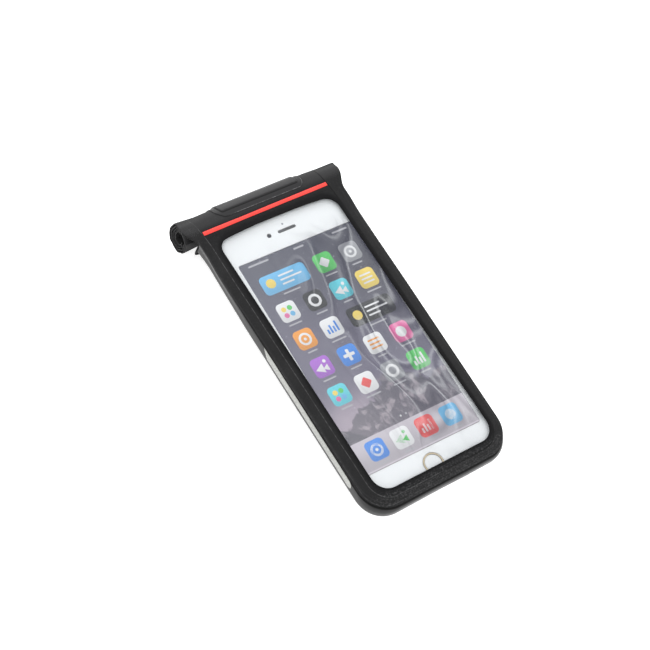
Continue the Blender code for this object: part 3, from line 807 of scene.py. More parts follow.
@dataclass(frozen=True)
class Grained:
    """A plain moulded, printed or sheet finish with a fine grain."""

    name: str
    colour: Colour
    light: Colour
    roughness: float = 0.5
    scale: float = 1600.0
    depth: float = 0.05 * MM
    metallic: float = 0.0
    cellular: bool = False
    stretch: Colour = (1.0, 1.0, 1.0)
    specular: float = 0.5

    def make(self) -> bpy.types.Material:
        """The material."""
        r = Recipe(self.name)
        grain = r.cells(self.scale) if self.cellular else r.noise(self.scale, 3.0, self.stretch)
        slow = r.noise(120.0, 2.0)
        colour = r.blend(grain * 0.5 + (slow - 0.35).most(0.0), self.colour, self.light)
        rough = self.roughness + (grain - 0.5) * 0.18 + (slow - 0.5) * 0.10
        return r.finish(
            colour, rough, Metallic=self.metallic, Specular_IOR_Level=self.specular,
            Normal=r.relief(grain, self.depth, 0.6),
        )


FINISHES = (
    Grained("rubber", (0.012, 0.012, 0.013), (0.024, 0.024, 0.026), 0.48, 2200.0, specular=0.28),
    Grained("tape", (0.020, 0.020, 0.022), (0.060, 0.060, 0.064), 0.95, 1500.0, 0.2 * MM),
    Grained("board", (0.060, 0.060, 0.066), (0.110, 0.110, 0.118), 0.60, 1300.0),
    Grained("red", (0.78, 0.048, 0.038), (0.90, 0.075, 0.062), 0.50, 1500.0, 0.03 * MM,
            specular=0.2),
    Grained("foam", (0.030, 0.030, 0.034), (0.080, 0.080, 0.086), 0.92, 1400.0, 0.2 * MM,
            cellular=True),
    Grained("moulded", (0.026, 0.026, 0.028), (0.048, 0.048, 0.051), 0.46, 2600.0),
    Grained("steel", (0.50, 0.50, 0.52), (0.68, 0.68, 0.70), 0.28, 900.0, 0.01 * MM, 1.0,
            stretch=(1.0, 6.0, 1.0)),
    Grained("aluminium", (0.68, 0.62, 0.54), (0.78, 0.73, 0.66), 0.32, 3000.0, 0.01 * MM, 1.0),
    Grained("white_glass", (0.800, 0.808, 0.812), (0.840, 0.848, 0.852), 0.10, 60.0, 0.002 * MM),
    Grained("gold_ring", (0.62, 0.52, 0.36), (0.74, 0.64, 0.48), 0.24, 900.0, 0.01 * MM, 1.0),
    Grained("dark", (0.030, 0.030, 0.034), (0.14, 0.14, 0.15), 0.45, 2600.0, cellular=True),
    Grained("lens", (0.010, 0.011, 0.020), (0.030, 0.032, 0.055), 0.08, 700.0, 0.004 * MM),
)


@dataclass(frozen=True)
class PatchRubber:
    """Moulded rubber whose rim carries a painted highlight on its lit right side and a painted
    shadow on its left, with a painted shadow line round its plateau's base and a painted highlight
    on the plateau.
    """

    colour: Colour = (0.015, 0.015, 0.016)
    # Lighter tone for the grain, and a painted highlight on the plateau.
    light: Colour = (0.030, 0.030, 0.032)
    # Painted highlight along the rim on the lit side.
    rim: Colour = (0.150, 0.150, 0.152)
    step: float = 3.0 * MM

    def make(self) -> bpy.types.Material:
        """The material."""
        r = Recipe("patch_rubber")
        x, _, _ = r.axes()
        border = r.node("ShaderNodeAttribute", {}, attribute_name="border").outputs["Fac"]
        border = Signal(r, border)
        grain = r.noise(2200.0, 3.0)
        broken = 0.30 + 0.70 * r.noise(760.0, 1.0).rise(0.42, 0.58)
        lit = x.rise(-24 * MM, -17 * MM)
        # The rim line is a painted highlight on the lit side and a painted shadow on the other.
        rim = border.line(0.30 * MM, 0.22 * MM)
        # Painted shadow round the plateau's base.
        painted_base_shadow = border.line(self.step, 0.45 * MM)
        # The plateau is lightened as a painted highlight.
        plateau = border.rise(3.2 * MM, 4.2 * MM)
        colour = r.blend(grain * 0.5 + plateau * 0.4, self.colour, self.light)
        colour = r.blend(rim * lit * broken, colour, self.rim)
        colour = r.blend((rim * (1.0 - lit) + painted_base_shadow * 0.9).least(1.0), colour, PAINTED_SHADOW)
        rough = 0.48 + (grain - 0.5) * 0.18
        return r.finish(
            colour, rough, Normal=r.relief(grain, 0.05 * MM, 0.6), Specular_IOR_Level=0.24
        )


@dataclass(frozen=True)
class Reflective:
    """Reflective film with fine hexagonal cells."""

    colour: Colour = (0.370, 0.375, 0.357)
    cell: Colour = (0.265, 0.270, 0.256)

    def make(self) -> bpy.types.Material:
        """The material."""
        r = Recipe("reflective_film")
        seams = 1.0 - r.cells(620.0, "DISTANCE_TO_EDGE").rise(0.02, 0.10)
        slow = r.noise(70.0, 2.0)
        colour = r.blend(seams * 0.6 + (slow - 0.4).most(0.0) * 0.6, self.colour, self.cell)
        rough = 0.34 + seams * 0.25
        return r.finish(
            colour, rough, Metallic=0.25, Normal=r.relief(1.0 - seams, 0.04 * MM, 0.5)
        )


SCREEN_TURN = math.radians(-1.18)
SCREEN_MIDDLE: Point = (0.9 * MM, -8.45 * MM)
TILE_PITCH: Point = (15.9, 16.3)
TOP_ROW = 46.0


@dataclass(frozen=True)
class Lit:
    """A colour shown by the display."""

    name: str
    colour: Colour

    def make(self) -> bpy.types.Material:
        """The material."""
        r = Recipe("lit_" + self.name)
        x, y, _ = r.axes()
        tilt = -math.tan(SCREEN_TURN)
        along = (y - SCREEN_MIDDLE[1]) + (x - SCREEN_MIDDLE[0]) * tilt - TOP_ROW * MM
        shade = (along / (TILE_PITCH[1] * MM) + 0.5).math("FRACT").rise(0.1, 0.9)
        deep = tuple(c * 0.72 for c in self.colour)
        colour = r.blend(shade, deep, self.colour)
        return r.finish(
            (0.01, 0.01, 0.01), 0.35, Emission_Color=colour, Emission_Strength=1.0
        )


@dataclass(frozen=True)
class Wallpaper:
    """Dusk sky over soft hills, as the display's background."""

    high: Colour = (0.075, 0.078, 0.112)
    middle: Colour = (0.150, 0.140, 0.200)
    low: Colour = (0.460, 0.385, 0.455)
    dim: Colour = (0.042, 0.042, 0.062)
    rock: Colour = (0.105, 0.100, 0.125)
    snow: Colour = (0.360, 0.320, 0.355)

    def make(self) -> bpy.types.Material:
        """The material."""
        r = Recipe("lit_wallpaper")
        x, y, _ = r.axes()
        cloud = r.noise(30.0, 4.0, (1.0, 1.7, 1.0))
        stars = r.noise(900.0, 0.0).rise(0.78, 0.82)
        height = y + (cloud - 0.5) * 0.045 + x * 0.25
        sky = r.blend(height.rise(-0.030, 0.055), self.middle, self.high)
        sky = r.blend(1.0 - height.rise(-0.070, -0.022), sky, self.low)
        sky = r.blend(x.rise(2 * MM, 36 * MM) * y.rise(-30 * MM, 20 * MM) * 0.75, sky, self.dim)
        sky = r.blend(stars * 0.5, sky, (0.6, 0.6, 0.7))
        crag = r.noise(210.0, 6.0, (1.0, 0.7, 1.0), 0.5)
        crest = (x * 85.0 + 1.1).math("SINE") * 0.007 + (x * 230.0).math("SINE") * 0.0025
        far = 1.0 - (y - crest - crag * 0.014 + 0.043).rise(-0.0008, 0.0008)
        near = 1.0 - (y + crest * 1.2 - crag * 0.010 + 0.060).rise(-0.0008, 0.0008)
        light = (crag - 0.50).rise(0.0, 0.16)
        slope = r.blend(light, self.rock, self.snow)
        body = r.blend(far * 0.80, sky, slope)
        body = r.blend(near * 0.85, body, r.blend(light * 0.5, self.rock, self.snow))
        return r.finish((0.012, 0.012, 0.014), 0.30, Emission_Color=body, Emission_Strength=1.0)


# ---------------------------------------------------------------- pouch


@dataclass
class FrontSheet:
    """Outer sheet: ring round the window, neck, and the roll's outer layer."""

    across: int = 80
    long_side: int = 104
    low_side: int = 76
    radial: int = 10
    neck_rows: int = 8
    roll_rows: int = 80

    def corner(self) -> Point:
        """Middle of the lower right corner's arc."""
        inset = STOCK.corner - STOCK.sheet / 2
        return STOCK.edge_half - inset, STOCK.bottom + inset

    def outer_side(self) -> list[Point]:
        """Right outline of the face from its lower corner's middle to the neck."""
        rows = 60
        path = arc(self.corner(), STOCK.corner, -45, 0, 12)
        levels = [mix(self.corner()[1], STOCK.neck, i / rows) for i in range(1, rows + 1)]
        return path + [(STOCK.front_half(y), y) for y in levels]

    def outlines(self) -> tuple[list[Point], list[Point]]:
        """Matching inner and outer points, counter-clockwise from the lower right corner."""
        low, high = OPENING.quarter(False, False), OPENING.quarter(True, False)
        inner_side = low[:1] + OPENING.quarter(False, True)[::-1] + OPENING.quarter(True, True)
        outer_side = self.outer_side()
        half = STOCK.front_half(STOCK.neck)
        outer_low = arc(self.corner(), STOCK.corner, 270, 315, 12)
        inner, outer = [], []
        for a, b, count in (
            (inner_side, outer_side, self.long_side),
            (high + OPENING.top_edge() + mirrored(high),
             [(half, STOCK.neck), (-half, STOCK.neck)], self.across),
            (mirrored(inner_side), mirrored(outer_side), self.long_side),
            (mirrored(low[::-1]) + low[::-1], mirrored(outer_low) + outer_low, self.low_side),
        ):
            inner += [OPENING.askew(point) for point in resample(a, count)[:-1]]
            outer += resample(b, count)[:-1]
        return inner + inner[:1], outer + outer[:1]

    def height(self, x: float, y: float, share: float) -> float:
        """Level of the face's middle surface.

        Args:
            x: Place across.
            y: Place along.
            share: 0 at the window, 1 at the outer edge.

        Returns:
            Its z.
        """
        level = STOCK.face + 0.10 * MM * waver(x, y, 0.4) * math.sin(math.pi * share)
        return level - LAY.sagging(y) * share ** 1.4

    def ring(self) -> bmesh.types.BMesh:
        """The flat ring round the window."""
        inner, outer = self.outlines()

        def place(i: int, j: int) -> Sequence[float]:
            """Position of rib i at step j outward."""
            share = j / self.radial
            x = mix(inner[i][0], outer[i][0], share)
            y = mix(inner[i][1], outer[i][1], share)
            z = STOCK.face if y > STOCK.neck - 0.01 * MM else self.height(x, y, share)
            return *LAY.place(x, y), z

        return mapped(len(inner) - 1, self.radial, place)

    def closure(self) -> bmesh.types.BMesh:
        """The sheet from the neck over the roll and into it."""
        angles = SPIRAL.stations(self.roll_rows)

        def place(i: int, j: int) -> Sequence[float]:
            """Position of column i at row j."""
            side = 1.0 - 2.0 * i / self.across
            if j <= self.neck_rows:
                y = mix(STOCK.neck, SPIRAL.y, j / self.neck_rows)
                return *LAY.place(side * STOCK.front_half(y), y), STOCK.face
            angle = angles[j - self.neck_rows]
            width = STOCK.roll_half - 0.35 * MM * angle / 360.0
            width += 0.25 * MM * waver(angle * 0.002, side, 3.1)
            x = side * width
            y, z = SPIRAL.point(angle, 0.0, x)
            return *LAY.roll(x, y), z

        return mapped(self.across, self.neck_rows + self.roll_rows, place)

    def build(self, cloth: bpy.types.Material, edge: bpy.types.Material) -> None:
        """Make the sheet in its two materials."""
        shape = weld(self.ring(), self.closure())
        piece = make("front_sheet", shape, (cloth, edge), ["front_panel"])
        thicken(piece, STOCK.sheet, rim=1)


@dataclass
class RearSheet:
    """Rear sheet: flat back, end wall behind the phone, the roll's inner layer."""

    across: int = 80
    roll_rows: int = 80
    corner: float = 12.4 * MM

    def stations(self) -> list[tuple[float, float, float, float]]:
        """Rows as half width, y, z and angle in the roll, which is -1 before it."""
        back_half = STOCK.edge_half + STOCK.bulge - STOCK.heel_reach
        low = STOCK.belly_bottom + STOCK.heel_reach
        rows = []
        for dx, dy in arc((0.0, 0.0), self.corner, -88, 0, 12):
            half = back_half - self.corner + dx
            rows.append((half, low + self.corner + dy, STOCK.rear, -1.0))
        start = rows[-1][1]
        for i in range(1, 25):
            y = mix(start, STOCK.neck - STOCK.bend, i / 24)
            rows.append((back_half - STOCK.lean(y), y, STOCK.rear, -1.0))
        wall = STOCK.edge_half + STOCK.bulge - STOCK.tuck
        bend = STOCK.bend
        for y, z in arc((STOCK.neck - bend, STOCK.rear + bend), bend, -60, 0, 3):
            rows.append((wall, y, z, -1.0))
        top = STOCK.face - STOCK.layer
        for i in range(1, 5):
            rows.append((wall, STOCK.neck, mix(STOCK.rear + bend, top - bend, i / 5), -1.0))
        for y, z in arc((STOCK.neck + bend, top - bend), bend, 180, 90, 3):
            rows.append((wall, y, z, -1.0))
        for i in range(1, 8):
            y = mix(STOCK.neck + bend, SPIRAL.y, i / 8)
            rows.append((STOCK.half(y, wall), y, top, -1.0))
        for angle in SPIRAL.stations(self.roll_rows):
            rows.append((STOCK.roll_half - 0.3 * MM - 0.5 * MM * angle / 360.0, 0.0, 0.0, angle))
        return rows

    def build(self, cloth: bpy.types.Material, edge: bpy.types.Material) -> None:
        """Make the sheet in its two materials."""
        rows = self.stations()

        def place(i: int, j: int) -> Sequence[float]:
            """Position of column i at row j."""
            half, y, z, angle = rows[j]
            x = half * (2.0 * i / self.across - 1.0)
            if angle >= 0:
                y, z = SPIRAL.point(angle, -STOCK.layer, x)
                return *LAY.roll(x, y), z
            if z == STOCK.rear:
                z += 0.12 * MM * waver(x, y, 5.0) * (1 - abs(x) / half)
            return *LAY.place(x, y), z

        shape = weld(mapped(self.across, len(rows) - 1, place))
        piece = make("rear_sheet", shape, (cloth, edge), ["back_panel"])
        thicken(piece, STOCK.sheet, rim=1)


@dataclass
class SideWall:
    """One strip round both sides and the bottom, with a weld lap at each edge."""

    flange: float = 2.6 * MM
    shoulder: float = 3.5 * MM
    heel: float = 4.5 * MM
    belly_corner: float = 14.0 * MM
    back_corner: float = 15.0 * MM
    side_steps: int = 90
    corner_steps: int = 22
    top: float = STOCK.face - STOCK.sheet - STOCK.gap
    low: float = STOCK.rear + STOCK.sheet + STOCK.gap

    def levels(self) -> list[tuple[float, float, float]]:
        """Rows from the front lap to the rear lap as outset, z and share of the belly."""
        top, low = self.top, self.low
        rows = [(-self.flange * i / 3, top, 0.0) for i in (3, 2, 1)]
        for degrees in range(0, 91, 10):
            angle = math.radians(degrees)
            drop = 1 - math.cos(angle)
            rows.append((STOCK.bulge * math.sin(angle), top - self.shoulder * drop, drop))
        for degrees in range(0, 91, 10):
            angle = math.radians(degrees)
            outset = STOCK.bulge - STOCK.heel_reach * (1 - math.cos(angle))
            rows.append((outset, low + self.heel * (1 - math.sin(angle)), 1.0))
        lap = STOCK.bulge - STOCK.heel_reach
        rows += [(lap - self.flange * i / 3, low, 1.0) for i in (1, 2, 3)]
        return rows

    def path(self, outset: float, z: float, share: float) -> list[Point]:
        """Plan of one row, from the right end of the neck round to the left.

        Args:
            outset: Distance beyond the front edge.
            z: Its level.
            share: Share of the belly.

        Returns:
            Evenly matched points.
        """
        low = self.low
        ratio = (STOCK.bottom - STOCK.belly_bottom) / STOCK.bulge
        end = STOCK.bottom - (outset * ratio if outset > 0 else outset)
        radius = STOCK.corner + (self.belly_corner - STOCK.corner) * share
        if outset < STOCK.bulge and z < low + self.heel:
            drawn = (STOCK.bulge - outset) / (STOCK.heel_reach + self.flange)
            end = STOCK.belly_bottom + (STOCK.bulge - outset)
            radius += (self.back_corner - self.belly_corner) * drawn
        elif z > low + self.heel:
            radius += min(outset, 0.0)
        top = STOCK.neck - STOCK.sheet / 2 - STOCK.gap
        if z < low + STOCK.bend:
            top -= STOCK.bend
        half = STOCK.edge_half + outset
        corner_y = end + radius
        side = []
        for i in range(self.side_steps):
            y = mix(top, corner_y, i / self.side_steps)
            side.append((half - share * STOCK.lean(y), y))
        side += arc((half - radius, corner_y), radius, 0, -90, self.corner_steps)
        bottom = half - radius
        side += [(bottom * (1 - i / 20), end) for i in range(1, 20)] + [(0.0, end)]
        return side + mirrored(side[:-1])

    def build(self, cloth: bpy.types.Material, edge: bpy.types.Material) -> None:
        """Make the wall in its two materials."""
        levels = self.levels()
        paths = [self.path(*level) for level in levels]

        def place(i: int, j: int) -> Sequence[float]:
            """Position of point i in row j."""
            x, y = paths[j][i]
            outset, z, _ = levels[j]
            lap = 1.0 + 0.15 * min(outset, 0.0) / self.flange if z > self.low + self.heel else 1.0
            z -= LAY.sagging(y) * lap * ((z - self.low) / (self.top - self.low)) ** 1.5
            push = LAY.push(x, y) * math.sin(math.pi * j / (len(levels) - 1))
            core = (0.0, max(min(y, 60 * MM), STOCK.bottom + 20 * MM))
            out = (Vector((x, y)) - Vector(core)).normalized()
            return *LAY.place(x - out.x * push, y - out.y * push), z

        shape = weld(mapped(len(paths[0]) - 1, len(levels) - 1, place))
        piece = make("side_wall", shape, (cloth, edge), ["side_gusset"])
        thicken(piece, STOCK.sheet, rim=1)

    def reflector(self, side: int, name: str, film: bpy.types.Material) -> None:
        """A reflective strip on one side, pointed at its upper end.

        Args:
            side: -1 on the left, 1 on the right.
            name: The solid that it stands for.
            film: Its material.
        """
        low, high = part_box(name)
        columns, rows = 60, 12
        height = high.z - low.z

        def place(i: int, j: int) -> Sequence[float]:
            """Position of column i at row j, counted from the lower edge."""
            share = j / rows
            round_off = height / 2 * (1 - math.sqrt(1 - (2 * share - 1) ** 2))
            start, end = low.y + round_off, high.y - height * (1 - share)
            y = mix(start, end, i / columns)
            z = mix(low.z, high.z, share)
            bend = max(z - self.top + self.shoulder, 0.0) / self.shoulder
            out = STOCK.bulge * math.sqrt(max(1 - bend ** 2, 0.0)) - LAY.push(0.0, y)
            x = STOCK.edge_half + out - STOCK.lean(y) + STOCK.sheet / 2 + 0.10 * MM
            z -= LAY.sagging(y) * ((z - self.low) / (self.top - self.low)) ** 1.5
            return *LAY.place(side * x, y), z

        shape = weld(mapped(columns, rows, place))
        piece = make(name + "_film", shape, (film,), [name])
        thicken(piece, 0.12 * MM, levels=0)


@dataclass
class WindowFilm:
    """Clear film welded behind the opening."""

    lap: float = 3.6 * MM
    top_lap: float = 1.6 * MM
    level: float = 18.6 * MM
    thickness: float = 0.4 * MM
    wave: float = 0.07 * MM

    def build(self, film: bpy.types.Material) -> None:
        """Make the film."""
        half = OPENING.half + self.lap
        low, high = OPENING.low - self.lap, OPENING.high + self.top_lap
        columns, rows = 48, 96
        radius = OPENING.low_radius + self.lap

        def place(i: int, j: int) -> Sequence[float]:
            """Position of column i and row j."""
            y = mix(low, high, j / rows)
            rest = max(radius - (y - low), 0.0)
            x = (half - radius + math.sqrt(radius ** 2 - rest ** 2)) * (2.0 * i / columns - 1.0)
            over = max(abs(x) - OPENING.half, OPENING.low - y, 0.0)
            dip = LAY.sagging(y) * (over / (8.5 * MM)) ** 1.4
            inside = ease((OPENING.half - abs(x)) / (6 * MM)) * ease((y - OPENING.low) / (6 * MM))
            inside *= ease((OPENING.high - y) / (6 * MM))
            return *LAY.place(x, y), self.level - dip + self.wave * waver(x * 1.4, y, 8.0) * inside

        piece = make("clear_window", mapped(columns, rows, place), (film,), ["window_film"])
        thicken(piece, self.thickness)


@dataclass
class Closure:
    """Stiff strip, tapes, patch and stripe of the rolled mouth."""

    patch_half: float = 25.5 * MM
    patch_start: float = 79.0 * MM
    patch_slant: float = 2.2 * MM
    patch_corner: float = 4.5 * MM
    flange: float = 0.30 * MM
    plateau: float = 0.60 * MM
    seat: float = 0.05 * MM
    step: float = 3.0 * MM
    wrap: float = 98.0
    stripe_ends: tuple[Point, Point] = ((-39.75 * MM, 75.26 * MM), (34.78 * MM, 74.63 * MM))
    stripe_height: float = 2.0 * MM

    def patch(self, rubber: bpy.types.Material) -> None:
        """The moulded patch over the roll, left bare."""
        flat = SPIRAL.y - self.patch_start
        track = [(self.patch_start + flat * i / 8, None) for i in range(8)]
        track += [(0.0, self.wrap * i / 60) for i in range(61)]
        spots, run = [], 0.0
        seat = STOCK.sheet / 2 + STOCK.gap
        for y, angle in track:
            spot = (y, STOCK.face + seat) if angle is None else SPIRAL.point(angle, seat, 0.0)
            run += math.dist(spots[-1][1], spot) if spots else 0.0
            spots.append((run, spot, angle))
        length = run
        columns = 124
        rows = 64
        borders = []

        def at(distance: float) -> tuple[float, float | None]:
            """Y and angle at a distance along the sheet."""
            for (a, first, one), (b, second, two) in zip(spots, spots[1:]):
                if distance <= b:
                    share = (distance - a) / max(b - a, 1e-9)
                    y = mix(first[0], second[0], share)
                    return y, (None if two is None else mix(one or 0.0, two, share))
            return spots[-1][1][0], spots[-1][2]

        def place(i: int, j: int) -> Sequence[float]:
            """Position of column i and row j."""
            run = length * (1 - math.cos(math.pi * j / rows)) / 2
            near = min(run, length - run)
            half = self.patch_half
            if near < self.patch_corner:
                half -= self.patch_corner - math.sqrt(
                    max(self.patch_corner ** 2 - (self.patch_corner - near) ** 2, 0.0)
                )
            side = math.sin(math.pi * (i / columns - 0.5))
            side = mix(side, 2.0 * i / columns - 1.0, 0.55)
            half += self.patch_slant * ease(run / (7 * MM)) if side < 0 else 0.0
            x = half * side
            border = min(half - abs(x), near)
            borders.append(border)
            inner = border - self.step
            lift = self.flange * math.sqrt(ease(border / (0.2 * MM)))
            lift += self.plateau * ease(inner / (0.5 * MM))
            y, angle = at(run)
            offset = STOCK.sheet / 2 + self.seat + lift
            if angle is None:
                return *LAY.roll(x, y), STOCK.face + offset
            y, z = SPIRAL.point(angle, offset, x)
            return *LAY.roll(x, y), z

        shape = mapped(columns, rows, place)
        layer = shape.verts.layers.float.new("border")
        for vert, border in zip(shape.verts, borders):
            vert[layer] = border
        piece = make("closure_patch", weld(shape), (rubber,), ["roll_patch"])
        smooth = piece.modifiers.new("bends", "SUBSURF")
        smooth.levels = smooth.render_levels = 1

    def tape(self, node: str, pile: bpy.types.Material, towards: float) -> None:
        """One of the two tapes, with its pile.

        Args:
            node: The solid that it stands for.
            pile: Its material.
            towards: 1 when the pile points to +Y, -1 to -Y.
        """
        low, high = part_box(node)
        columns, rows = 160, 14

        def place(i: int, j: int) -> Sequence[float]:
            """Position of column i and row j."""
            rim = min(i, columns - i, j, rows - j) / 2
            loops = 0.5 + 0.5 * math.sin(i * 2.4 + j * 1.3) * math.sin(j * 2.1 - i * 0.7)
            lift = (high.y - low.y) * (0.55 + 0.40 * loops) * ease(rim)
            y = low.y + lift if towards > 0 else high.y - lift
            return *LAY.place(mix(low.x, high.x, i / columns), y), mix(low.z, high.z, j / rows)

        make(node + "_pile", mapped(columns, rows, place), (pile,), [node])

    def stripe(self, red: bpy.types.Material) -> None:
        """The printed stripe, which lies a little askew on the face."""
        columns = 60
        left, right = self.stripe_ends
        level = STOCK.face + STOCK.sheet / 2 + 0.04 * MM

        def place(i: int, j: int) -> Sequence[float]:
            """Position of column i at its lower or upper edge."""
            share = i / columns
            y = mix(left[1], right[1], share) + self.stripe_height * (j - 0.5)
            y += 0.10 * MM * waver(share * 0.08, j, 4.0)
            return mix(left[0], right[0], share), y, level

        piece = make("stripe", mapped(columns, 1, place), (red,), ["red_stripe"])
        thicken(piece, 0.10 * MM, levels=0)

    def build(self, materials: dict[str, bpy.types.Material]) -> None:
        """Make the closure's pieces."""
        self.patch(PatchRubber().make())
        self.stripe(materials["red"])
        self.tape("hook_tape", materials["tape"], 1.0)
        self.tape("loop_tape", materials["tape"], -1.0)
        dress("roll_slat", materials["board"])


@dataclass
class BackStack:
    """Foam pad, board, gasket, mount and screws behind the phone."""

    def pad(self, foam: bpy.types.Material) -> None:
        """The foam pad behind the phone."""
        low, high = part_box("back_pad")
        shape = bmesh.new()
        bmesh.ops.create_grid(shape, x_segments=1, y_segments=1, size=0.5)
        bmesh.ops.scale(shape, verts=shape.verts, vec=(high.x - low.x, high.y - low.y, 1.0))
        centre = (low + high) / 2
        bmesh.ops.translate(shape, verts=shape.verts, vec=(centre.x, centre.y, low.z))
        bmesh.ops.bevel(
            shape, geom=shape.verts[:], offset=15 * MM, affect="VERTICES", segments=10,
            profile=0.5, material=-1,
        )
        body = bmesh.ops.extrude_face_region(shape, geom=shape.faces[:])
        upper = [v for v in body["geom"] if isinstance(v, bmesh.types.BMVert)]
        bmesh.ops.translate(shape, verts=upper, vec=(0, 0, high.z - low.z))
        bmesh.ops.recalc_face_normals(shape, faces=shape.faces)
        rims = [e for e in shape.edges if abs(e.verts[0].co.z - e.verts[1].co.z) < 1e-6]
        bmesh.ops.bevel(
            shape, geom=rims, offset=0.45 * MM, affect="EDGES", segments=3, profile=0.5, material=-1
        )
        piece = make("foam_pad", shape, (foam,), ["back_pad"])

    def build(self, materials: dict[str, bpy.types.Material]) -> None:
        """Make the stack's pieces."""
        self.pad(materials["foam"])
        screws = [(f"mount_screw_{number}", "steel") for number in range(1, 5)]
        for node, finish in (
            ("back_board", "board"), ("mount_gasket", "rubber"), ("mount_base", "moulded"), *screws
        ):
            dress(node, materials[finish])


# ---------------------------------------------------------------- phone


ROUND = 32


class Motif(Enum):
    """Plain figures that stand on the screen's tiles.

    Each is a row of marks: place from the tile's middle, size (a pair for a plate, a radius
    for a disc), corner radius or number of sides, turn in degrees, colour and layer.
    """

    DISC = ((0, 0, 2.9, ROUND, 0, "ink", 2),)
    RING = ((0, 0, 3.4, ROUND, 0, "ink", 2), (0, 0, 2.2, ROUND, 0, "ground", 3),
            (0, 0, 0.8, ROUND, 0, "ink", 4))
    BARS = tuple((1.8 * i - 2.7, height / 2 - 2.9, (1.1, height), 0.3, 0, "ink", 2)
                 for i, height in enumerate((2.6, 4.6, 3.4, 5.8)))
    PEAK = ((-1.1, -0.8, 3.0, 3, 90, "ink", 2), (1.9, -1.3, 2.1, 3, 90, "ink", 3),
            (2.3, 2.4, 0.9, ROUND, 0, "ink", 2))
    CROSS = ((0, 0, (6.4, 1.7), 0.5, 0, "ink", 2), (0, 0, (1.7, 6.4), 0.5, 0, "ink", 3))
    DIAMOND = ((0, 0, (4.6, 4.6), 0.7, 45, "ink", 2),)
    DOTS = tuple((3.4 * (i % 2) - 1.7, 3.4 * (i // 2) - 1.7, 1.35, ROUND, 0, colour, 2)
                 for i, colour in enumerate(("pink", "sky", "yellow", "green")))
    ROWS = tuple((0, 2.2 - 2.2 * i, (6.6, 0.9), 0.3, 0, "ink", 2) for i in range(3))
    SUN = ((0, 0, 3.6, 12, 0, "ink", 2), (0, 0, 2.1, ROUND, 0, "ground", 3))


SCREEN_COLOURS: dict[str, Colour] = {
    "white": (0.86, 0.87, 0.89),
    "pale": (0.60, 0.57, 0.64),
    "label": (0.55, 0.55, 0.60),
    "green": (0.10, 0.62, 0.14),
    "blue": (0.05, 0.26, 0.80),
    "sky": (0.16, 0.52, 0.86),
    "cyan": (0.12, 0.66, 0.78),
    "orange": (0.92, 0.36, 0.05),
    "yellow": (0.92, 0.70, 0.14),
    "pink": (0.86, 0.16, 0.42),
    "red": (0.86, 0.10, 0.10),
    "violet": (0.42, 0.14, 0.66),
    "grey": (0.34, 0.35, 0.38),
    "black": (0.020, 0.021, 0.026),
    "dock": (0.56, 0.52, 0.58),
}


